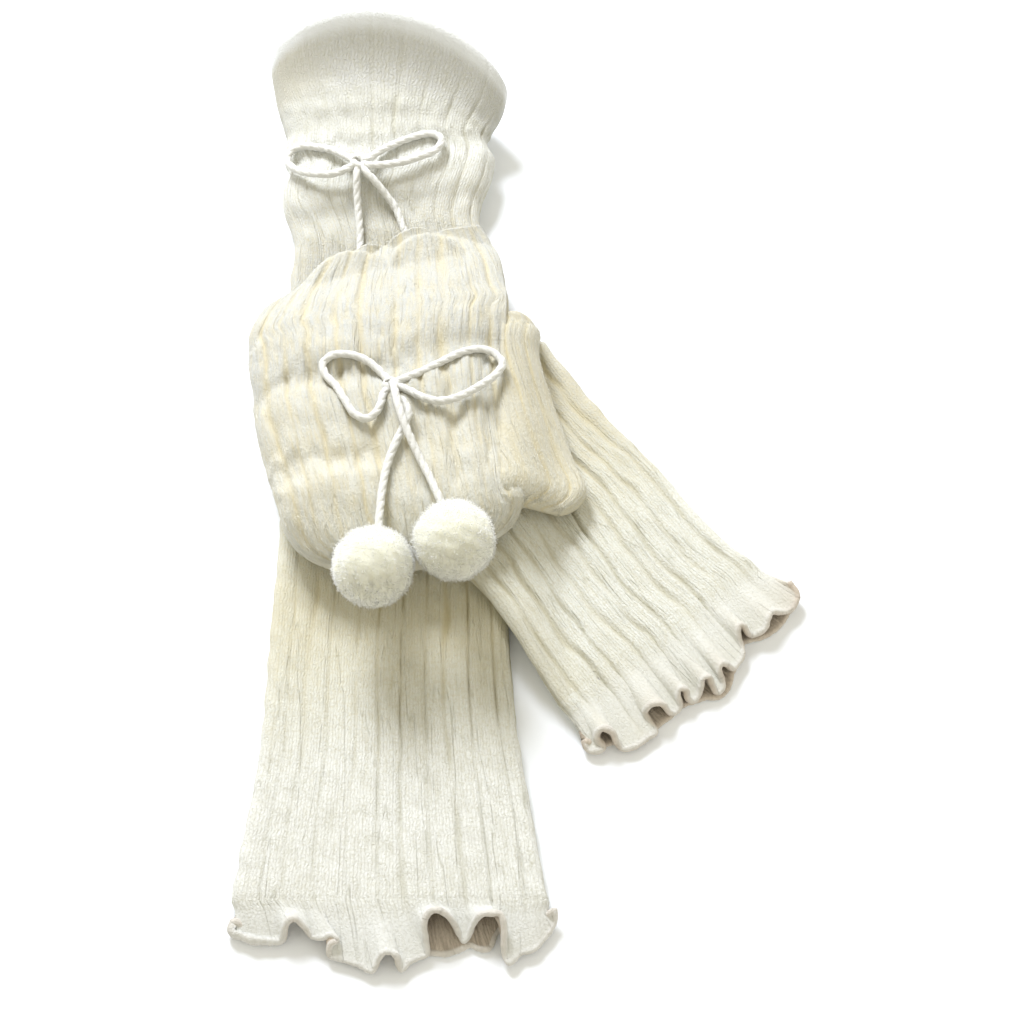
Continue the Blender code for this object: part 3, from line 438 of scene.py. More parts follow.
def fold_place(x, y):
    """How far inside the hidden layers' outline a place is: 1 inside, 0 a little beyond it."""
    rows = np.array(FOLD_ROWS)[:, :4]
    left_edge = np.interp(y, rows[::-1, 1], rows[::-1, 0])
    right_edge = np.interp(y, rows[::-1, 3], rows[::-1, 2])
    far, near = (row[1] + (row[3] - row[1]) / (row[2] - row[0]) * (x - row[0]) for row in (rows[0], rows[-1]))
    return ((1 - smooth((left_edge - x) / EASE)) * (1 - smooth((x - right_edge) / EASE))
            * (1 - smooth((y - far - 4.0) / EASE)) * (1 - smooth((near - y) / EASE)))


def floor_ground(x, y):
    return np.zeros_like(x)


def leg_ground(x, y):
    return lower_top(x, y) + SEAM * np.minimum(lower_top(x, y), 1.0)


def fold_ground(x, y):
    return lower_top(x, y) + (LAYER + 0.5) * leg_cover(x, y)


def fold_thickness(y):
    rows = np.array(FOLD_ROWS)
    return np.interp(y, 0.5 * (rows[::-1, 1] + rows[::-1, 3]), rows[::-1, 4])


def hidden_lump(x, y):
    """How far the lower one's cord ends and pressed pompoms lift the cuff."""
    lift = np.zeros_like(x)
    for middle, tail in ((LOWER_POMPOM_LEFT, LOWER_TAIL_LEFT), (LOWER_POMPOM_RIGHT, LOWER_TAIL_RIGHT)):
        away = np.hypot(x - middle[0], y - middle[1])
        lift = np.maximum(lift, (2 * PRESSED_HALF[1] + SLACK) * (1 - smooth((away - PRESSED_HALF[0]) / EASE)))
        for start, end in zip(tail[-4:-1], tail[-3:]):
            off = away_from_line(x, y, start[0], start[1], end[0], end[1])
            lift = np.maximum(lift, (CORD + SLACK) * (1 - smooth((off - 4.0) / EASE)))
    return lift


def cuff_ground(x, y):
    return hidden_lump(x, y) + fold_ground(x, y) + (fold_thickness(y) + FOLD_COVER) * fold_place(x, y)


# ---------------------------------------------------------------- ribs
def rib_shape(share, along, seed, out_up=None, gather=0.0, valley_width=0.11, rib_height=RIB_HEIGHT,
              sway=1.0, flat_left=0.0):
    """Relief of the ribs and how deep in a valley each point is.

    Crowns are broad and nearly flat, valleys narrow; both wander and change along a rib, and
    fainter furrows run along some of the crowns.  Given out_up, the underside stays plain."""
    rounds = share * RIBS_ROUND
    drift = 0.12 * (0.5 + 0.5 * sway) * waves(seed, rounds / 7.0, along / 90.0)
    drift = drift + 0.07 * sway * waves(seed + 1, rounds / 2.2, along / 26.0)
    drift = drift + 0.13 * waves(seed + 7, rounds / 1.6, along / 400.0)
    phase = rounds + drift
    nearest = np.round(phase)
    away = np.abs(phase - nearest)
    deep = 0.80 + 0.38 * waves(seed + 2, nearest * 1.7, along / 45.0) + 0.5 * gather
    deep = deep + 0.30 * waves(seed + 8, nearest * 3.1)
    deep = np.clip(deep, 0.12, 1.5) * (1.0 - flat_left * smooth((share - 0.22) / 0.16))
    valley = np.exp(-((away / valley_width) ** 2))
    furrow = 0.5 - np.abs(phase + 0.10 * waves(seed + 6, along / 30.0, share * 40.0) - nearest)
    faint = np.clip(0.10 + 0.45 * waves(seed + 4, np.floor(phase) * 2.3, along / 50.0), 0.0, 0.6)
    faint = faint * np.exp(-((furrow / 0.07) ** 2))
    crown = 1.0 - 0.20 * (1.0 - 2.0 * away) ** 2
    relief = rib_height * (0.80 * crown + 0.20 - deep * valley * 0.92 - 0.45 * faint)
    relief = relief + 0.35 * waves(seed + 3, rounds / 1.4, along / 16.0) * (1 - valley)
    # the depth of the valleys is kept as a mark that darkens them as painted shade
    depth = valley * np.clip(deep, 0.0, 1.0) + 0.6 * faint
    shown = 1.0 if out_up is None else smooth((out_up + 0.45) / 0.4)
    return relief * shown, depth * shown


# ---------------------------------------------------------------- meshes from rings
def to_part(points):
    return (np.asarray(points, float) - PLAN_CENTRE) * MM


def mesh_piece(name, nodes, finish, points, quads=(), stitch_places=None, marks=(), caps=()):
    """Piece from points and faces, quads first, a stitch-map place for each corner of the first
    quads, and marks on the points; it takes the place of the nodes."""
    mesh = bpy.data.meshes.new(name)
    mesh.vertices.add(len(points))
    mesh.vertices.foreach_set("co", to_part(points).ravel())
    sizes = [4] * len(quads) + [len(cap) for cap in caps]
    corners = np.concatenate([np.asarray(quads).ravel()] + [np.asarray(cap) for cap in caps])
    starts = np.concatenate([[0], np.cumsum(sizes)[:-1]])
    mesh.loops.add(len(corners))
    mesh.loops.foreach_set("vertex_index", corners.astype(np.int32))
    mesh.polygons.add(len(sizes))
    mesh.polygons.foreach_set("loop_start", starts.astype(np.int32))
    layer = mesh.uv_layers.new(name="stitches")
    places = np.zeros((len(corners), 2))
    if stitch_places is not None:
        places[:len(stitch_places)] = stitch_places
    layer.data.foreach_set("uv", places.ravel())
    for mark, values in dict(marks).items():
        held = mesh.attributes.new(mark, "FLOAT", "POINT")
        held.data.foreach_set("value", np.asarray(values, np.float32).ravel())
    mesh.update(calc_edges=True)
    mesh.validate()
    mesh.shade_smooth()
    mesh.materials.append(finish)
    piece = bpy.data.objects.new(name, mesh)
    bpy.context.scene.collection.objects.link(piece)
    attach(piece, "root")
    if nodes:
        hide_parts(*nodes)
    return piece


def ring_faces(rings, width, closed, start=0):
    """Quads between rings that go once round; closed joins the last ring to the first."""
    row = np.arange(rings if closed else rings - 1)[:, None]
    spot = np.arange(width)[None, :]
    after, beside = (row + 1) % rings, (spot + 1) % width
    quads = np.stack([row * width + spot, row * width + beside, after * width + beside,
                      after * width + spot], axis=2).reshape(-1, 4)
    return quads + start


def zip_faces(first, width):
    """Quads that close a ring by joining its top to its underside."""
    k = np.arange(width // 2)
    return np.stack([first + k, first + k + 1, first + (width - k - 1) % width,
                     first + (width - k) % width], axis=1)


def zipped_faces(rings, width):
    """Quads between rings, and those that close the first and the last."""
    return np.concatenate([ring_faces(rings, width, False), zip_faces(0, width)[:, ::-1],
                           zip_faces((rings - 1) * width, width)])


def map_places(u, v):
    """Places on the stitch map of the corners of a grid's quads, from those of its lines."""
    spot, row = np.meshgrid(np.arange(len(u) - 1), np.arange(len(v) - 1))
    corners = [(spot, row), (spot + 1, row), (spot + 1, row + 1), (spot, row + 1)]
    return np.stack([np.stack([u[s], v[r]], axis=2) for s, r in corners], axis=2).reshape(-1, 2)


def ring_places(shares, heights, closed):
    """Stitch-map places for ring_faces: columns round the tube, rows along it."""
    if closed:
        heights = np.append(heights, heights[-1] + 2.0)
    columns = np.append(shares, shares[0] + 1.0) * RIBS_ROUND * STITCHES_PER_RIB
    return map_places(columns, heights / STITCH_ROW)


def walked(grid):
    """Distance along a grid of rings, on the middle of its columns."""
    steps = np.linalg.norm(np.diff(grid, axis=0), axis=2).mean(axis=1)
    return np.concatenate([[0.0], np.cumsum(steps)])


def normals(grid, row, spot):
    """Directions out of a grid of rings, which point up at the given row and spot."""
    around = np.roll(grid, -1, axis=1) - np.roll(grid, 1, axis=1)
    out = unit(np.cross(around, np.gradient(grid, axis=0)))
    return -out if out[row, spot, 2] < 0 else out


def shares_round(points_per_rib=POINTS_PER_RIB):
    count = RIBS_ROUND * points_per_rib
    return np.arange(count) / count


def turned(centre, reach, ahead, out, degrees):
    """Rings that turn round a centre line, between its outer and its inner side."""
    return np.array([centre + reach * (math.cos(t) * ahead + math.sin(t) * out) for t in np.radians(degrees)])


# ---------------------------------------------------------------- the flat tubes
MOUTH_PLAIN = 0.55              # how much of the ribs the flared mouth loses
INNER_RELIEF = 0.35             # share of the ribs that the inside of a wall follows


def tube_grid(tube, stations, shares, inset=0.0, creases=(), gather=None, bow=None, **ribs):
    """Points of a tube that lies on what is below it, ring by ring, and their valley marks."""
    table, place, ground, seed = tube
    grid, valleys = [], []
    for station in stations:
        along, left, right, slant, high, roundness = between(table, station)
        roundness = min(max(roundness, 0.0), 1.0)
        middle, half_width = 0.5 * (left + right), 0.5 * (right - left) - inset
        half_height = 0.5 * high - inset
        across, up, out_across, out_up = oval(half_width, half_height, shares, roundness)
        tight = 0.0 if gather is None else gather(along)
        relief, valley = rib_shape(shares, along, seed, out_up, tight, **ribs)
        if inset:
            relief = INNER_RELIEF * relief
        if bow is not None:
            left_over = 1 - MOUTH_PLAIN * smooth((along - 246.0) / 22.0)
            relief, valley = relief * left_over, valley * left_over
        across = across + out_across * relief
        up = up + out_up * relief
        bowed = 0.0 if bow is None else bow(along) * np.minimum((across / half_width) ** 2, 1.2)
        x, y = place(along + slant * across - bowed, middle + across)
        dip = trough(creases, x, y) * np.maximum(out_up, 0.0)
        if inset:
            dip = 1.2 * dip + 0.6
        z = ground(x, y) + 0.5 * high + up - dip
        grid.append(np.stack([x, y, np.maximum(z, 0.0)], axis=1))
        valleys.append(valley)
    return np.array(grid), np.array(valleys)


def lower_place(along, across):
    return across, along


def upper_place(along, across):
    return (LEG_START[0] + along * LEG_ALONG[0] + across * LEG_ACROSS[0],
            LEG_START[1] + along * LEG_ALONG[1] + across * LEG_ACROSS[1])


LOWER_TUBE = (LOWER_ROWS, lower_place, floor_ground, 11)
UPPER_TUBE = (UPPER_ROWS, upper_place, leg_ground, 23)
CALM_RIBS = {"valley_width": 0.072, "rib_height": 1.5, "sway": 0.3, "flat_left": 0.45}
DEEP_RIBS = {"valley_width": 0.12, "rib_height": 2.2, "sway": 0.8}


def spread(start, end, step):
    return np.linspace(start, end, int(round(abs(end - start) / step)) + 1)


def joined_tube(name, nodes, parts, marks, finish, shares, rows_from=0.0):
    """Closed tube from parts whose rings run over the outside, round the hem and back inside.

    Each mark holds one value, or one for each place, for every part."""
    grid = np.concatenate(parts)
    grid[:, :, 2] = np.maximum(grid[:, :, 2], 0.0)
    marks = {mark: np.concatenate([np.broadcast_to(value, part.shape[:2])
                                   for part, value in zip(parts, held)]) for mark, held in marks.items()}
    places = ring_places(shares, walked(grid) + rows_from, True).reshape(-1, 4, 2)
    return mesh_piece(name, nodes, finish, grid.reshape(-1, 3),
                      ring_faces(*grid.shape[:2], True)[:, ::-1], places[:, ::-1].reshape(-1, 2), marks)


# ---------------------------------------------------------------- lettuce hems
HEM_STEPS = 16
HEM_POINTS_PER_RIB = 32
HEM_UNDERLAP = 3.0              # how far the hem's first rows lie under the tube's last ones
HEM_HALF = 1.4                  # half thickness of the ruffled cloth
UNDER = 0.06                    # how deep in the wall the hem's first ring lies
DIVE = 0.10                     # how deep in the wall the tube's own end lies
# painted shade on a hem's bead, from its top to its underside
BEAD_TAN = (0.22, 0.26, 0.32, 0.42, 0.54, 0.66, 0.8, 0.9, 1.0, 1.0, 1.0, 1.0)   # from top to underside


def edge_shares(edge):
    """Place of each edge point round the top of the tube, by its way across and along the edge."""
    rows = np.array(edge)
    gone = way_along(rows)
    across = np.maximum.accumulate((rows[0, 0] - rows[:, 0]) / (rows[0, 0] - rows[-1, 0]))
    share = 0.55 * gone / gone[-1] + 0.45 * across
    return (share - share[0]) / (share[-1] - share[0])


def hem_edge(edge, back_edge, shares, place):
    """Edge of a hem at each place round it: one table over the top, one on the floor."""
    top = between(np.column_stack([edge_shares(edge), np.array(edge)]), np.clip(shares / 0.5, 0, 1))[:, 1:]
    top[:, 2] = np.maximum(top[:, 2], 2.3 * BEAD)
    back_rows = np.vstack([edge[-1][:2], back_edge, edge[0][:2]])
    gone = way_along(back_rows)
    back_share = np.clip((shares - 0.5) / 0.5, 0, 1)
    back = between(np.column_stack([gone / gone[-1], back_rows]), back_share)[:, 1:]
    corner = 1 - smooth(np.minimum(back_share, 1 - back_share) / 0.06)
    ends = edge[-1][2] + (edge[0][2] - edge[-1][2]) * back_share
    back = np.column_stack([back, BEAD + (ends - BEAD) * corner])
    spots = np.where((shares <= 0.5)[:, None], top, back)
    return np.stack([*place(spots[:, 1], spots[:, 0]), spots[:, 2]], axis=1)


def round_average(values, reach):
    """Average of neighbours round a ring."""
    weights = np.hanning(2 * reach + 1)
    weights /= weights.sum()
    padded = np.concatenate([values[-reach:], values, values[:reach]])
    return np.stack([np.convolve(padded[:, axis], weights, "valid") for axis in range(3)], axis=1)


def hem_piece(name, node, tube, ribs, edge, back_edge, finish, warm_shade, hem_shade_strength, corner_roll, rings):
    """Ruffled end of a tube, from under its last rows to an overlocked bead, and back inside.

    The stitch rows go on from those of the tube's rings.  Also gives the ring on which the tube's
    own end dives under it."""
    seed = tube[3]
    shares = shares_round(HEM_POINTS_PER_RIB)
    width = len(shares)
    first_row = tube[0][0][0]
    starts = (first_row + HEM_UNDERLAP, first_row)
    outer_start, valley = tube_grid(tube, starts, shares, **ribs)
    inner_start, _ = tube_grid(tube, starts, shares, WALL, **ribs)
    outer_start[0] += UNDER * (inner_start[0] - outer_start[0])
    tips = hem_edge(edge, back_edge, shares, tube[1])
    calm = round_average(tips, width // 14)
    wave = tips - calm
    base = 0.5 * (outer_start[1] + inner_start[1])
    down = np.linspace(0.0, 1.0, HEM_STEPS + 1)[:, None]
    parts = down[:, :, None]
    middle = base + (calm - base) * parts + wave * parts**2.0
    middle[:, :, 2] = base[:, 2] + (calm[:, 2] - base[:, 2]) * down**1.5 + wave[:, 2] * down**2.0
    out = normals(middle, HEM_STEPS // 3, width // 4)
    ease = smooth(parts / 0.4)
    half = HEM_HALF - 0.12 * smooth((parts - 0.3) / 0.5)
    offset = 0.5 * (outer_start[1] - inner_start[1]) * (1 - ease) + out * half * ease
    outer, inner = middle + offset, middle - offset
    along_edge = unit(np.roll(middle[-1], -1, axis=0) - np.roll(middle[-1], 1, axis=0))
    ahead = unit(square_to(middle[-1] - middle[-3], along_edge))
    ahead = unit(round_average(ahead, 5))
    across = np.cross(along_edge, ahead)
    across *= np.sign((across * out[-1]).sum(axis=1).mean())
    fat = 1.0 + corner_roll * np.exp(-(((shares - 0.475) / 0.035) ** 2))
    knots = 1.0 + 0.09 * waves(seed + 8, shares * 45.0) + 0.05 * waves(seed + 12, shares * 130.0)
    bead = turned(middle[-1], BEAD * (fat * knots)[:, None], ahead, across, np.arange(110, -111, -20))
    back = np.concatenate([inner[:-1][::-1], inner_start[:1]])
    # painted shade: tan under the lifted arches and at the right corner, tan bead undersides and darker
    # ruffle tips, strongest on the upper hem, which also takes some warm painted shade
    lifted = 0.8 * hem_shade_strength * smooth((tips[:, 2] - 7.0) / 9.0) * (shares < 0.5)
    lifted = np.maximum(lifted, hem_shade_strength**2 * np.exp(-((shares / 0.045) ** 2)))
    down = down[:-1]
    marks = {
        "valley": (valley[:1], valley[1:] * (1 - 0.4 * down) + 0.9 * hem_shade_strength**2 * down, 0.0, 0.0),
        "inside": (0.0, 0.6 * lifted * down**3, np.maximum(hem_shade_strength * np.array(BEAD_TAN)[:, None], lifted), 1.0),
        "warm_shade": (warm_shade,) * 4,
        "bead": (0.0, 0.55 * smooth(down / 0.5), 0.7, 0.0),
    }
    piece = joined_tube(name, (node,), (outer_start[:1], outer[:-1], bead, back), marks,
                        finish, shares, walked(rings)[-1] - HEM_UNDERLAP)
    return piece, (outer[1] + DIVE * (inner[1] - outer[1]))[::HEM_POINTS_PER_RIB // POINTS_PER_RIB]


# ---------------------------------------------------------------- the warmers' long tubes
RIM_START = 271.5               # where the rolled rim of the mouth starts
# middle of the painted shadow that the folded one's near turn throws on the lower leg
NOSE_SHADE = -62.0              # where the leg is darkest, under the folded one's near turn


def lower_warmer(finish):
    """The one that lies straight: leg, cuff, rolled mouth and inside, knitted in one."""
    shares = shares_round()
    stations = np.concatenate([spread(-213.0, 150.0, 2.8), spread(152.0, 277.0, 1.9)])

    def gather(along):
        return 0.4 * math.exp(-((along - 203.0) / 16.0) ** 2) - 0.7 * float(smooth((along - 120.0) / 40.0))

    def bow(along):
        return MOUTH_BOW * float(smooth((along - 220.0) / 50.0))

    outer, valley = tube_grid(LOWER_TUBE, stations, shares, 0.0, LOWER_CREASES, gather, bow, **CALM_RIBS)
    inside = np.concatenate([spread(-213.0, 150.0, 12.0), spread(155.0, 277.0, 5.5)])
    inner, _ = tube_grid(LOWER_TUBE, inside, shares, WALL, LOWER_CREASES, None, bow, **CALM_RIBS)
    ahead = unit(outer[-1] - outer[-3])
    out = unit(square_to(outer[-1] - inner[-1], ahead))
    reach = (ROLL + 0.5 * waves(71, shares * 5.0))[:, None]
    roll = turned(outer[-1] - reach * out, reach, ahead, out, np.arange(72, -190, -18))
    rings = np.concatenate([roll[::-1], outer[::-1]])
    hem, dive = hem_piece("lower_hem_edge", "lower_hem", LOWER_TUBE, CALM_RIBS, LOWER_EDGE, LOWER_BACK,
                          finish, 0.0, 0.55, 1.0, rings)
    at = stations[::-1, None]
    # painted shade, warm and darker, on the lower leg from below the folded one's turn up to the bow
    warm_shade_share = 0.75 * smooth((at + 175.0) / 110.0) * (1 - smooth((at - 150.0) / 80.0))
    rim = smooth((at - RIM_START) / 4.0)
    # painted shade on the mouth's flare under the rim, most on its left side, with a faint tan band, and on
    # the stretch between the bow and the flare
    shaded = smooth((at - 244.0) / 12.0) * (1 - rim)
    left_side = smooth((shares - 0.30) / 0.12) * (1 - smooth((shares - 0.5) / 0.1))
    below = smooth((at - 216.0) / 10.0) * (1 - smooth((at - 246.0) / 8.0))
    # painted shadow of the folded one's near turn on the lower leg, strongest on its right side
    under_nose = np.exp(-(((at - NOSE_SHADE) / 36.0) ** 2)) * (1 - 0.3 * smooth(shares / 0.4))
    marks = {
        "valley": (0.0, valley[::-1] + 0.25 * warm_shade_share + 0.9 * shaded * left_side
                   + 0.4 * below + 0.9 * under_nose, 0.0, 0.0),
        "inside": (0.0, shaded * (0.03 * np.clip(np.sin(2 * math.pi * shares), 0, 1) + 0.10 * left_side),
                   0.0, 1.0),
        "bead": (1.0, rim, 0.0, 0.0),
        "warm_shade": (0.0, warm_shade_share, 0.0, 0.0),
    }
    piece = joined_tube("lower_warmer", ("lower_leg", "lower_cuff"),
                        (roll[::-1], outer[::-1], dive[None], inner), marks, finish, shares)


def upper_leg(finish):
    """Leg of the folded one, from its hem to its far turn."""
    shares = shares_round()
    stations = spread(28.0, 215.0, 2.0)
    outer, valley = tube_grid(UPPER_TUBE, stations, shares, **DEEP_RIBS)
    inner, _ = tube_grid(UPPER_TUBE, spread(28.0, 211.0, 12.0), shares, WALL)
    hem, dive = hem_piece("upper_hem_edge", "upper_hem", UPPER_TUBE, DEEP_RIBS, UPPER_EDGE, UPPER_BACK,
                          finish, 0.35, 1.0, 0.25, outer[::-1])
    at = stations[::-1, None]
    # painted shade: the valley mark also darkens the leg toward its far turn and along its left side, and the
    # warm mark darkens it more toward the far turn
    marks = {
        "valley": (valley[::-1] + 0.55 * smooth((at - 70.0) / 90.0)
                   + 0.6 * smooth((shares - 0.36) / 0.12) * (shares < 0.56), 0.0, 0.0),
        "inside": (0.0, 0.0, 1.0),
        "bead": (0.0, 0.0, 0.0),
        "warm_shade": (0.35 + 0.5 * smooth((at - 60.0) / 90.0), 0.0, 0.0),
    }
    piece = joined_tube("upper_leg_knit", ("upper_leg",), (outer[::-1], dive[None], inner),
                        marks, finish, shares)


# ---------------------------------------------------------------- folded layers and cuff
THIN_END = 0.06                 # least share of its height that a layer keeps where it closes
SIDE_ROUNDNESS = 0.25
LAYER_GAP = 0.5                 # room between one layer and what it lies on
LEAST_LAYER = 8.0               # least height of the cuff over what it lies on
LIP_RINGS = 5
LIP_HALF = 2.2                  # half thickness of the cloth at the folded one's mouth
SOFT_RIBS = {"valley_width": 0.12, "rib_height": 1.5, "sway": 0.5}
FOLD_SEED, CUFF_SEED = 37, 53


def slab_ring(row, shares, low_of, high_of, closing, middle_of, creases, bulge, seed,
              inset=0.0, gather=0.0, strength=1.0):
    """Ring of a soft layer between the height below it and the height of its top."""
    start, end = np.array(row[:2]), np.array(row[2:4])
    along = -row[1]
    half_width = 0.5 * float(np.linalg.norm(end - start))
    centre = 0.5 * (start + end)
    side = (end - start) / (2 * half_width)
    half_width -= inset
    keep = max(math.sqrt(max(1 - closing**2, 0.0)), THIN_END)
    mid_x, mid_y = centre[:1], centre[1:]
    half_height = min(0.5 * float(high_of(mid_x, mid_y)[0] - low_of(mid_x, mid_y)[0]) * keep,
                      0.45 * half_width)
    across, up, out_across, out_up = oval(half_width, half_height, shares, SIDE_ROUNDNESS)
    mirrored = np.where(shares > 0.5, 1.0 - shares, shares)
    relief, valley = rib_shape(mirrored, along, seed, None, gather, **SOFT_RIBS)
    relief = relief + 0.45 * waves(seed + 5, mirrored * 9.0, along / 24.0)
    relief = relief + 0.28 * waves(seed + 9, mirrored * RIBS_ROUND / 0.40, along / 38.0)
    relief = relief + 0.20 * waves(seed + 10, mirrored * RIBS_ROUND / 0.22, along / 9.0)
    relief = relief * strength * (1.0 - 0.6 * closing) * (INNER_RELIEF if inset else 1.0)
    across = across + out_across * relief
    x = centre[0] + side[0] * across
    y = centre[1] + side[1] * across - bulge * (1.0 - np.minimum((across / half_width) ** 2, 1.0))
    low, high = low_of(x, y) + inset, high_of(x, y) - inset
    middle = middle_of(low, high)
    low = np.maximum(middle - (middle - low) * keep, low)
    high = middle + (high - middle) * keep
    lift = (up / half_height + 1) * 0.5
    dip = trough(creases, x, y) * np.maximum(out_up, 0.0) * keep
    z = low + lift * (high - low) + out_up * relief * np.where(out_up > 0, 1.0, keep) - dip
    return np.stack([x, y, z], axis=1), valley


def soft_lip(outer, inner):
    """Rings of the rounded edge at an open mouth, from the inside to the outside."""
    half = 0.5 * (outer[0] - inner[0])
    thick = np.linalg.norm(half, axis=1)[:, None]
    thin = np.minimum(thick, LIP_HALF)
    return turned(outer[0] - half / thick * thin, 1.15 * thin, unit(outer[0] - outer[2]), half / thick,
                  np.linspace(-70.0, 70.0, LIP_RINGS))


def layered_piece(name, node, outer, valley, inner, finish, shares):
    """Closed mesh of a soft layer: open at its first ring where there is an inside, else zipped."""
    grid = outer if inner is None else np.concatenate([inner[::-1], soft_lip(outer, inner), outer])
    rings, width = grid.shape[:2]
    # the inside of the cuff's mouth takes the tan painted shade
    inside = np.zeros((rings, width))
    if inner is not None:
        inside[:len(inner)] = 1.0
    marks = {"valley": np.concatenate([np.zeros((rings - len(outer), width)), valley]), "inside": inside,
             "bead": np.zeros(inside.size), "warm_shade": np.ones(inside.size)}
    return mesh_piece(name, (node,), finish, grid.reshape(-1, 3), zipped_faces(rings, width),
                      ring_places(shares, walked(grid), False), marks)


def upper_fold(finish, fibres):
    """Hidden layers, whose rounded edges show beside the cuff."""
    shares = shares_round(12)
    outer, valleys = [], []
    for k in np.linspace(0, len(FOLD_ROWS) - 1, 70):
        row = between(FOLD_ROWS, k, "row")
        closing = min(max(row[5], 0.0), 1.0)
        folded = float(np.interp(k, (3.0, 4.0), (1.0, 0.0)))

        def low(x, y):
            return lower_top(x, y) * folded + fold_ground(x, y) * (1 - folded) + LAYER_GAP - 0.1

        def high(x, y):
            by_cuff = smooth((x + 9.0) / 4.0) * (1 - smooth((x - 3.0) / 32.0))
            return fold_ground(x, y) + row[4] + LOBE_RISE * by_cuff * (1 - 0.4 * smooth((y - 84.0) / 16.0))

        def middle(low, high):
            return 0.5 * (low + high)

        ring, valley = slab_ring(row, shares, low, high, closing, middle, (), 0.0, FOLD_SEED, strength=0.6)
        outer.append(ring)
        valleys.append(valley)
    outer = np.array(outer)
    # painted shade: the hidden layers' lobe is darker all over, for it lies in shade beside the cuff
    piece = layered_piece("upper_fold_knit", "upper_fold", outer, np.array(valleys) + 0.45, None,
                          finish, shares)
    loose = fuzz("upper_fold_fibres", outer[20:], 2000, 67, fibres, shown_from=-8.0)


def upper_cuff(finish, fibres):
    """Cuff of the folded one: top layer, its near turn and its open mouth."""
    shares = shares_round()
    outer, valleys, inner = [], [], []
    for k in np.linspace(0, len(CUFF_ROWS) - 1, 110):
        row = between(CUFF_ROWS, k, "row")
        closing = min(max(row[5], 0.0), 1.0)

        def low(x, y):
            return cuff_ground(x, y) + LAYER_GAP

        def high(x, y):
            right_edge, left_edge = row[2], row[0]
            fall = 6.0 * smooth((x - right_edge + 22.0) / 22.0) + 7.0 * smooth((left_edge + 20.0 - x) / 20.0)
            return np.maximum(row[4] + 1.0 - fall, cuff_ground(x, y) + LEAST_LAYER)

        def middle(low, high):
            return 0.5 * (low + high) * (1 - closing) + NOSE_MIDDLE * closing

        tight = 0.5 * math.exp(-(((row[1] + row[3]) * 0.5 - 60.0) / 18.0) ** 2)
        strength = 0.45 + 0.55 * float(smooth(k / 2.0))
        layer = (row, shares, low, high, closing, middle, CUFF_CREASES, row[6], CUFF_SEED)
        ring, valley = slab_ring(*layer, 0.0, tight, strength)
        outer.append(ring)
        valleys.append(valley)
        if k <= 4.0:
            inner.append(slab_ring(*layer, WALL, 0.0, strength)[0])
    outer = np.array(outer)
    piece = layered_piece("upper_cuff_knit", "upper_cuff", outer, np.array(valleys), np.array(inner),
                          finish, shares)
    loose = fuzz("upper_cuff_fibres", outer[6:], 9000, 61, fibres)


# ---------------------------------------------------------------- loose fibres and strands
FIBRE_HALF = 0.07
FIBRE_LENGTH = 4.0
THIRDS = (0.0, 2 * math.pi / 3, 4 * math.pi / 3)


def spikes(roots, tips, side, other, half, swirl=0.0):
    """Points and faces of closed fibres of three sides that end in a point."""
    corners = [roots + half * (np.cos(swirl + turn) * side + np.sin(swirl + turn) * other) for turn in THIRDS]
    caps = [(first + a, first + b, first + c) for first in range(0, 4 * len(roots), 4)
            for a, b, c in ((2, 1, 0), (0, 1, 3), (1, 2, 3), (2, 0, 3))]
    return np.stack(corners + [tips], axis=1).reshape(-1, 3), caps


def let_light_by(piece):
    """Fibres as fine as these scatter light round them and throw no shadow that can be seen."""
    piece.visible_shadow = False
    return piece


def fuzz(name, grid, count, seed, finish, shown_from=-1000.0):
    """Fine closed fibres that lie loosely on the upper side of a piece."""
    dice = np.random.default_rng(seed)
    out = normals(grid, len(grid) // 2, grid.shape[1] // 4)
    row = dice.integers(1, len(grid) - 2, size=12 * count)
    spot = dice.integers(0, grid.shape[1] - 1, size=12 * count)
    shown = np.nonzero((out[row, spot, 2] > 0.0) & (grid[row, spot, 0] > shown_from))[0][:count]
    row, spot = row[shown], spot[shown]
    count = len(row)
    ahead, beside = dice.uniform(size=(count, 1)), dice.uniform(size=(count, 1))
    start = grid[row, spot]
    start = start + ahead * (grid[row + 1, spot] - start) + beside * (grid[row, spot + 1] - start)
    up = out[row, spot]
    way = unit(square_to(dice.normal(size=(count, 3)) * (0.45, 2.0, 0.6), up))
    long = FIBRE_LENGTH * dice.uniform(0.5, 1.3, size=(count, 1))
    tips = start + long * way + dice.uniform(0.2, 0.9, size=(count, 1)) * up
    points, caps = spikes(start + 0.1 * up, tips, np.cross(up, way), up, FIBRE_HALF)
    return let_light_by(mesh_piece(name, (), finish, points, caps=caps))


# ---------------------------------------------------------------- drawstrings
PLIES = 3
PLY_TURN = 17.0                 # length of one twist of the cord
PLY_OFF = 0.50                  # from the cord's middle to a ply's middle
PLY_HALF = 1.70
PLY_SIDES = 10
ROUTE_STEP = 1.1
KNOT_TURNS = 1.55
KNOT_LEAN = np.array([[0.86, 0.20, 0.47], [-0.35, 0.90, 0.26], [-0.37, -0.39, 0.84]])


def even_route(route):
    """A route in even steps, and the distance of each along it."""
    fine = between(route, np.linspace(0, len(route) - 1, 40 * len(route)), "row")
    gone = way_along(fine)
    at = np.linspace(0.0, gone[-1], max(int(round(gone[-1] / ROUTE_STEP)), 3) + 1)
    return np.stack([np.interp(at, gone, fine[:, axis]) for axis in range(3)], axis=1), at


def frames_along(points):
    """Two directions across a route at each of its points, without sudden turns."""
    ahead = unit(np.gradient(points, axis=0))
    side = unit(np.cross(ahead[0], (0.0, 0.0, 1.0)))
    sides = []
    for direction in ahead:
        side = unit(square_to(side, direction))
        sides.append(side)
    return np.array(sides), np.cross(ahead, sides)


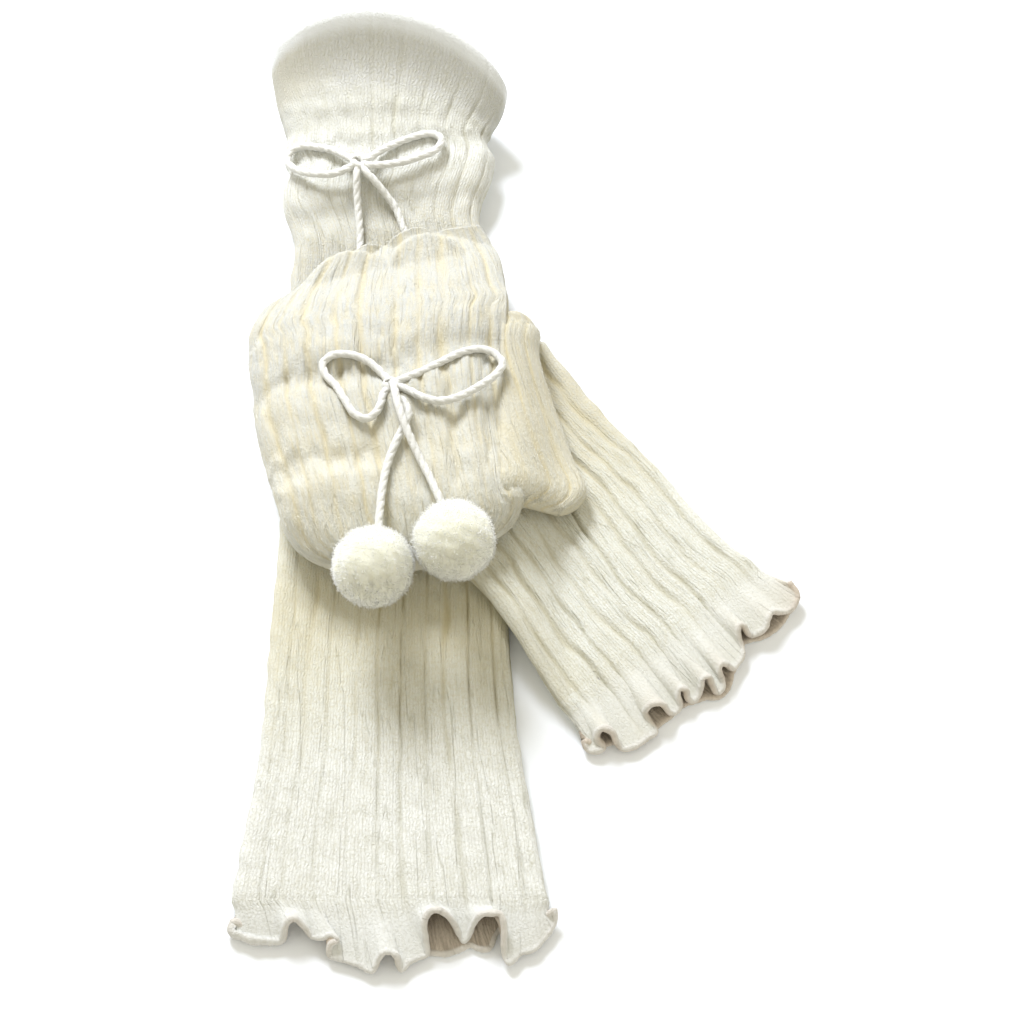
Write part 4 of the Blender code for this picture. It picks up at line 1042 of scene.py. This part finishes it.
def twisted(name, node, points, at, finish):
    """Cord of plies that turn round each other."""
    side, up = frames_along(points)
    places, quads, caps, stitch_places = [], [], [], []
    start, rows = 0, len(points)
    around = (np.arange(PLY_SIDES) * 2 * math.pi / PLY_SIDES)[None, :, None]
    for ply in range(PLIES):
        turn = (2 * math.pi * (at / PLY_TURN + ply / PLIES))[:, None]
        out = np.cos(turn) * side + np.sin(turn) * up
        over = -np.sin(turn) * side + np.cos(turn) * up
        half = PLY_HALF * (1 + 0.06 * waves(31 + ply, at / 7.0) + 0.03 * waves(41, at / 2.0))[:, None, None]
        ring = (points + PLY_OFF * out)[:, None, :] + half * (np.cos(around) * out[:, None, :]
                                                              + np.sin(around) * over[:, None, :])
        places.append(ring.reshape(-1, 3))
        quads.append(ring_faces(rows, PLY_SIDES, False, start))
        stitch_places.append(map_places(np.arange(PLY_SIDES + 1) * 0.9, at / 1.2))
        caps += [start + np.arange(PLY_SIDES)[::-1], start + (rows - 1) * PLY_SIDES + np.arange(PLY_SIDES)]
        start += rows * PLY_SIDES
    return mesh_piece(name, (node,), finish, np.concatenate(places), np.concatenate(quads),
                      np.concatenate(stitch_places), caps=caps)


def cord(name, node, route, finish):
    points, at = even_route(route)
    piece = twisted(name, node, points, at, finish)


def knot(name, node, middle, finish):
    """Tight wrap of the cord round itself where the bow is tied."""
    turn = np.linspace(0.0, 2 * math.pi * KNOT_TURNS, 46)
    local = np.stack([2.9 * np.cos(turn), 2.5 * np.sin(turn), 3.2 * (turn / turn[-1] - 0.5)], axis=1)
    points = local @ KNOT_LEAN.T * np.array([1.0, 1.0, 0.75]) + np.array(middle)
    twisted(name, node, points, way_along(points), finish)


# ---------------------------------------------------------------- pompoms
STRAND_HALF = 0.25
STRAND_ROOT = 0.94              # where a strand starts, as a share of its length from the middle
CORE_SHARE = 0.980              # size of the soft body under the strand ends
CORE_RINGS, CORE_ROUND = 90, 140
TUFTS = 2.1                     # unevenness of the ball in its half size


def pompom(name, node, middle, halves, count, seed, finish):
    """Ball of cut yarn: fine three-sided strand ends on a soft lumpy core."""
    dice = np.random.default_rng(seed)
    k = np.arange(count) + 0.5
    up = 1 - 2 * k / count
    turn = math.pi * (1 + 5**0.5) * k
    flat = np.sqrt(1 - up**2)
    out = np.stack([np.cos(turn) * flat, np.sin(turn) * flat, up], axis=1)
    out = unit(out + dice.normal(scale=0.022, size=out.shape))
    halves = np.array(halves, float)
    lean = dice.normal(scale=0.5, size=out.shape)
    length = 0.985 + 0.034 * np.abs(dice.normal(size=count)) + 0.022 * ball_waves(seed + 90, out, TUFTS)
    swirl = dice.uniform(0, 2 * math.pi, size=count)[:, None]
    side = unit(np.cross(out, np.where(np.abs(out[:, 2:]) < 0.9, [[0.0, 0.0, 1.0]], [[1.0, 0.0, 0.0]])))
    roots = out * (STRAND_ROOT * length)[:, None] * halves
    tips = (out + 0.05 * lean) * length[:, None] * halves
    points, caps = spikes(roots, tips, side, np.cross(out, side), STRAND_HALF, swirl)
    # valley: painted shade, full at the strand roots and none at the tips; the core takes half
    marks = {"valley": np.tile([1.0, 1.0, 1.0, 0.0], count),
             "inside": np.repeat(dice.uniform(0, 1, size=count), 4)}
    ends = mesh_piece(name + "_strands", (), finish, points + np.array(middle),
                      marks=marks, caps=caps)
    up = np.linspace(-0.995, 0.995, CORE_RINGS)
    turn = np.arange(CORE_ROUND) * 2 * math.pi / CORE_ROUND
    flat = np.sqrt(1 - up**2)
    ball = np.stack([flat[:, None] * np.cos(turn), flat[:, None] * np.sin(turn),
                     np.repeat(up[:, None], CORE_ROUND, axis=1)], axis=2)
    lumps = (1.0 + 0.022 * ball_waves(seed + 90, ball, TUFTS) + 0.006 * ball_waves(seed + 91, ball, 5.0)
             + 0.002 * ball_waves(seed + 92, ball, 13.0))
    points = (ball * lumps[:, :, None]).reshape(-1, 3) * (halves * CORE_SHARE) + np.array(middle)
    core = mesh_piece(name, (node,), finish, points, zipped_faces(CORE_RINGS, CORE_ROUND),
                      marks={"valley": np.full(len(points), 0.5), "inside": np.zeros(len(points))})
    return [core, let_light_by(ends)]


# ---------------------------------------------------------------- finishes
CREAM = (0.805, 0.815, 0.785, 1.0)
# painted shade: the legs' cream, darker and warmer where the folded one lies over and beside them
LEG_SHADED = (0.685, 0.70, 0.625, 1.0)
# painted shade: the cream darkened on the cuff and its hidden layers, which stand high in the light
CUFF_SHADED = (0.61, 0.61, 0.555, 1.0)
# painted shade: the shaded cream farther from the hem, darkest on the cuff's top, which faces the light
FAR_SHADED = (0.50, 0.51, 0.49, 1.0)
# painted shade: greyer, darker cream on the lower one's far end by its mouth
FAR_GREY = (0.575, 0.58, 0.56, 1.0)
# painted shade in valleys, creases and recesses: olive, and gold where the warm painted shade lies
SHADE = (0.53, 0.515, 0.40, 1.0)
GOLD = (0.62, 0.54, 0.32, 1.0)
# painted shade inside the tubes, under lifted hem edges and on edge undersides, streaked darker
TAN = (0.60, 0.51, 0.41, 1.0)
BROWN = (0.36, 0.29, 0.22, 1.0)
# painted shade in the thin valleys between ribs
LINE = (0.40, 0.40, 0.31, 1.0)
RIM = (0.765, 0.78, 0.775, 1.0)
CORD_WHITE = (0.80, 0.80, 0.775, 1.0)
YARN_TIP = (0.75, 0.745, 0.635, 1.0)
# painted shade of the yarn toward the roots inside a pompom
YARN_ROOT = (0.71, 0.70, 0.585, 1.0)
YARN_DEEP = (0.66, 0.63, 0.49, 1.0)
FIBRE = (0.72, 0.715, 0.645, 1.0)


class Maker:
    """Short ways to make the nodes of one tree; values may be numbers or other nodes' sockets."""

    def __init__(self, tree):
        self.tree = tree

    def give(self, socket, value):
        if isinstance(value, bpy.types.NodeSocket):
            self.tree.links.new(value, socket)
        else:
            socket.default_value = value

    def node(self, kind, inputs, **settings):
        node = self.tree.nodes.new("ShaderNode" + kind)
        for key, value in settings.items():
            setattr(node, key, value)
        for key, value in inputs.items():
            self.give(node.inputs[key], value)
        return node.outputs

    def maths(self, kind, first, second=0.5, clamp=False):
        return self.node("Math", {0: first, 1: second}, operation=kind, use_clamp=clamp)[0]

    def times(self, first, second):
        return self.maths("MULTIPLY", first, second)

    def plus(self, first, second):
        return self.maths("ADD", first, second)

    def minus(self, first, second):
        return self.maths("SUBTRACT", first, second)

    def ramp(self, value, start, end, top=1.0, bottom=0.0, kind="SMOOTHSTEP"):
        """From bottom to top while the value goes from start to end."""
        return self.node("MapRange", {"Value": value, "From Min": start, "From Max": end,
                                      "To Min": bottom, "To Max": top}, interpolation_type=kind)[0]

    def noise(self, where, scale, detail=2.0, roughness=0.5, distortion=0.0):
        return self.node("TexNoise", {"Vector": where, "Scale": scale, "Detail": detail,
                                      "Roughness": roughness, "Distortion": distortion})["Fac"]

    def stretched(self, where, factors):
        return self.node("VectorMath", {0: where, 1: factors}, operation="MULTIPLY")[0]

    def mixed(self, share, first, second):
        return self.node("Mix", {0: share, 6: first, 7: second}, data_type="RGBA")[2]

    def mark(self, name):
        return self.node("Attribute", {}, attribute_type="GEOMETRY", attribute_name=name)["Fac"]

    def bump(self, height, strength, distance):
        return self.node("Bump", {"Height": height, "Strength": strength, "Distance": distance})[0]


def group(name, given, outputs):
    """Node group of numbers, from one that it is given."""
    tree = bpy.data.node_groups.new(name, "ShaderNodeTree")
    tree.interface.new_socket(given, in_out="INPUT", socket_type="NodeSocketFloat")
    for label in outputs:
        tree.interface.new_socket(label, in_out="OUTPUT", socket_type="NodeSocketFloat")
    return Maker(tree), tree.nodes.new("NodeGroupInput").outputs[0], tree.nodes.new("NodeGroupOutput").inputs


def knit_stitch_group():
    """V-shaped stitches on the stitch map: height, gaps and holes between them, streaks and lines."""
    make, unevenness, put = group("knit stitches", "Unevenness",
                                  ("Height", "Gaps", "Holes", "Streaks", "Tufts", "Lines"))
    places = make.node("UVMap", {}, uv_map="stitches")[0]
    parts = make.node("SeparateXYZ", {0: places})
    push = make.times(make.minus(make.noise(places, 0.7, 3.0), 0.5), unevenness)
    column = make.plus(parts["X"], push)
    row = make.plus(parts["Y"], make.times(push, 3.0))
    side = make.times(make.maths("ABSOLUTE", make.minus(make.maths("FRACT", column), 0.5)), 2.0)
    leg = make.maths("FRACT", make.minus(row, make.times(side, 0.75)))
    off = make.times(make.minus(leg, 0.5), 2.0)
    strand = make.maths("POWER", make.minus(1.0, make.times(off, off)), 0.6)
    groove = make.maths("MAXIMUM", make.maths("SINE", make.times(side, math.pi)), 0.0)
    height = make.times(make.plus(make.times(strand, 0.5), 0.5), make.maths("POWER", groove, 0.5))
    streaks = make.noise(make.stretched(places, (2.2, 0.15, 1.0)), 1.0, 3.0)
    shallow = make.noise(make.stretched(places, (0.27, 0.016, 1.0)), 1.0)
    line = make.ramp(make.maths("ABSOLUTE", make.minus(shallow, 0.5)), 0.0, 0.011, 0.0, 1.0)
    made = {
        "Height": height,
        "Gaps": make.maths("POWER", make.minus(1.0, height), 1.6),
        "Holes": make.ramp(make.noise(places, 1.9, 1.0), 0.60, 0.72),
        "Streaks": streaks,
        "Tufts": make.noise(make.stretched(places, (1.5, 0.16, 1.0)), 1.0, 3.0, 0.6),
        "Lines": make.times(line, make.ramp(streaks, 0.38, 0.56)),
    }
    for label, value in made.items():
        make.give(put[label], value)
    return make.tree


def wool_fluff_group():
    """Fine fuzz of the yarn: a height and a light and dark grain, by size, and broad patches."""
    make, size, put = group("wool fluff", "Size", ("Height", "Grain", "Patches"))
    where = make.node("TexCoord", {})["Object"]
    make.give(put["Height"], make.noise(where, make.times(size, 780.0), 5.0, 0.7, 0.6))
    make.give(put["Grain"], make.noise(where, make.times(size, 620.0), 3.0))
    make.give(put["Patches"], make.noise(where, 22.0, 3.0))
    return make.tree


def new_finish(name, roughness, sheen, sheen_roughness):
    finish = bpy.data.materials.new(name)
    finish.use_nodes = True
    shader = finish.node_tree.nodes["Principled BSDF"].inputs
    shader["Roughness"].default_value = roughness
    shader["Specular IOR Level"].default_value = 0.25
    shader["Sheen Weight"].default_value = sheen
    shader["Sheen Roughness"].default_value = sheen_roughness
    return finish, Maker(finish.node_tree), shader


def knit_finish(stitches, fluff):
    """Ivory rib knit: stitches, fluff, painted shade in warmer valleys and a tan painted shade inside."""
    finish, make, shader = new_finish("ivory_rib_knit", 0.9, 0.15, 0.6)
    stitch = make.node("Group", {"Unevenness": 0.9}, node_tree=stitches)
    wool = make.node("Group", {"Size": 1.0}, node_tree=fluff)
    along = make.node("SeparateXYZ", {0: make.node("TexCoord", {})["Object"]})["Y"]
    # far: where the painted grey of the far end takes over, just beyond the lower bow
    far = make.ramp(along, 0.185, 0.215)
    # warm mark: how much warm painted shade a place takes; it is 1 on the cuff and its hidden layers, which
    # also picks out their fluffy texture
    warm_shade = make.mark("warm_shade")
    fluffy = make.maths("GREATER_THAN", warm_shade, 0.9)
    calm = make.minus(1.0, fluffy)

    def by_calm(more, least):
        return make.plus(make.times(calm, more), least)

    # the shaded creams of the warm painted shade, and the darker one farther from the hem
    near = make.mixed(make.ramp(along, -0.03, 0.06), make.mixed(fluffy, LEG_SHADED, CUFF_SHADED), FAR_SHADED)
    colour = make.mixed(warm_shade, make.mixed(far, CREAM, FAR_GREY), near)
    # the colour of painted shade in valleys, creases and recesses
    shade = make.mixed(warm_shade, SHADE, GOLD)
    # random tone from patches, streaks and grain; painted shade in the gaps and holes between stitches and
    # between the cuff's tufts
    shares = (
        make.ramp(wool["Patches"], 0.42, 0.68, 0.10, kind="LINEAR"),
        make.ramp(stitch["Streaks"], 0.45, 0.72, make.plus(make.times(warm_shade, 0.06), 0.26), kind="LINEAR"),
        make.ramp(stitch["Tufts"], 0.44, 0.66, make.times(fluffy, 0.26)),
        make.times(stitch["Gaps"], by_calm(0.16, 0.08)),
        make.times(stitch["Holes"], by_calm(0.26, 0.10)),
        make.ramp(wool["Grain"], 0.44, 0.68, by_calm(0.22, 0.12)),
    )
    for share in shares:
        colour = make.mixed(share, colour, shade)
    # lines: painted shade along thin valleys between ribs, also cut into the bump, none on the far end
    lines = make.times(stitch["Lines"], make.minus(1.0, far))
    colour = make.mixed(make.times(lines, by_calm(0.24, 0.12)), colour, LINE)
    # valley mark: painted shade in rib valleys, creases and the places marked as shaded
    colour = make.mixed(make.maths("MULTIPLY", make.mark("valley"), 0.55, True), colour, shade)
    # inside mark: tan painted shade in hollows and on undersides, streaked darker along the stitch columns
    inside = make.maths("MULTIPLY", make.mark("inside"), 0.85, True)
    threads = make.mixed(make.ramp(stitch["Streaks"], 0.42, 0.66), TAN, BROWN)
    colour = make.mixed(inside, colour, threads)
    # bead: overlocked beads and the mouth's rolled rim, plain with little stitch relief; on the rim this
    # lighter colour stands against the painted grey of the far end as a painted highlight, and undersides
    # take the tan painted shade
    bead = make.mark("bead")
    edge = make.mixed(inside, RIM, TAN)
    colour = make.mixed(make.maths("MULTIPLY", bead, 0.85, True), colour, edge)
    make.give(shader["Base Color"], colour)
    plain = make.maths("SUBTRACT", 1.0, bead, True)
    knitted = make.times(make.times(stitch["Height"], plain), by_calm(0.20, 0.14))
    fluffed = make.times(wool["Height"], by_calm(0.15, 0.70))
    tufted = make.times(make.plus(stitch["Tufts"], stitch["Streaks"]), make.times(fluffy, -0.55))
    height = make.minus(make.plus(make.plus(knitted, fluffed), tufted), make.times(lines, 0.35))
    make.give(shader["Normal"], make.bump(height, 0.85, 0.0013))
    return finish


def cord_finish(fluff):
    """Off-white twisted yarn."""
    finish, make, shader = new_finish("twisted_cord", 0.9, 0.2, 0.5)
    wool = make.node("Group", {"Size": 1.1}, node_tree=fluff)
    make.give(shader["Base Color"], make.mixed(make.times(wool["Grain"], 0.3), CORD_WHITE, SHADE))
    make.give(shader["Normal"], make.bump(wool["Height"], 0.8, 0.0010))
    return finish


def pompom_finish(fluff):
    """Cut yarn through which light passes, with painted shade that makes it darker at its roots than at its
    tips.
    """
    finish, make, shader = new_finish("cut_yarn", 0.95, 0.4, 0.6)
    shader["Subsurface Weight"].default_value = 1.0
    shader["Subsurface Radius"].default_value = (1.0, 0.97, 0.85)
    shader["Subsurface Scale"].default_value = 0.003
    wool = make.node("Group", {"Size": 0.9}, node_tree=fluff)
    colour = make.mixed(make.mark("valley"), YARN_TIP, YARN_ROOT)
    colour = make.mixed(make.times(make.mark("inside"), 0.12), colour, YARN_DEEP)
    make.give(shader["Base Color"], colour)
    make.give(shader["Normal"], make.bump(wool["Height"], 0.5, 0.0012))
    return finish


def fibre_finish():
    """Pale loose fibres."""
    finish, _, shader = new_finish("loose_fibres", 1.0, 0.0, 0.5)
    shader["Base Color"].default_value = FIBRE
    return finish


# ---------------------------------------------------------------- the pair
ROUND = (0.5 * POMPOM,) * 3
PRESSED = (PRESSED_HALF[0], PRESSED_HALF[0], PRESSED_HALF[1])
POMPOMS = (
    ("pompom_a", "upper_pompom_left", UPPER_POMPOM_LEFT, ROUND, 12000, 3),
    ("pompom_b", "upper_pompom_right", UPPER_POMPOM_RIGHT, ROUND, 12000, 4),
    ("pompom_c", "lower_pompom_left", LOWER_POMPOM_LEFT, PRESSED, 6000, 5),
    ("pompom_d", "lower_pompom_right", LOWER_POMPOM_RIGHT, PRESSED, 6000, 6),
)
LOOPS = {"upper_left": UPPER_LOOP_LEFT, "upper_right": UPPER_LOOP_RIGHT,
         "lower_left": LOWER_LOOP_LEFT, "lower_right": LOWER_LOOP_RIGHT}
TAILS = {"upper_left": UPPER_TAIL_LEFT, "upper_right": UPPER_TAIL_RIGHT,
         "lower_left": LOWER_TAIL_LEFT, "lower_right": LOWER_TAIL_RIGHT}

camera()
studio()
FLUFF = wool_fluff_group()
YARN = cord_finish(FLUFF)
CUT_YARN = pompom_finish(FLUFF)
KNIT = knit_finish(knit_stitch_group(), FLUFF)
FIBRES = fibre_finish()
balls = [pompom(*ball, CUT_YARN) for ball in POMPOMS]
for side, route in LOOPS.items():
    cord("loop_" + side, side.replace("_", "_loop_"), route, YARN)
for (side, route), ball in zip(TAILS.items(), balls):
    cord("tail_" + side, side.replace("_", "_tail_"), route, YARN)
knot("knot_upper", "upper_knot", UPPER_KNOT, YARN)
knot("knot_lower", "lower_knot", LOWER_KNOT, YARN)
lower_warmer(KNIT)
upper_leg(KNIT)
upper_fold(KNIT, FIBRES)
upper_cuff(KNIT, FIBRES)
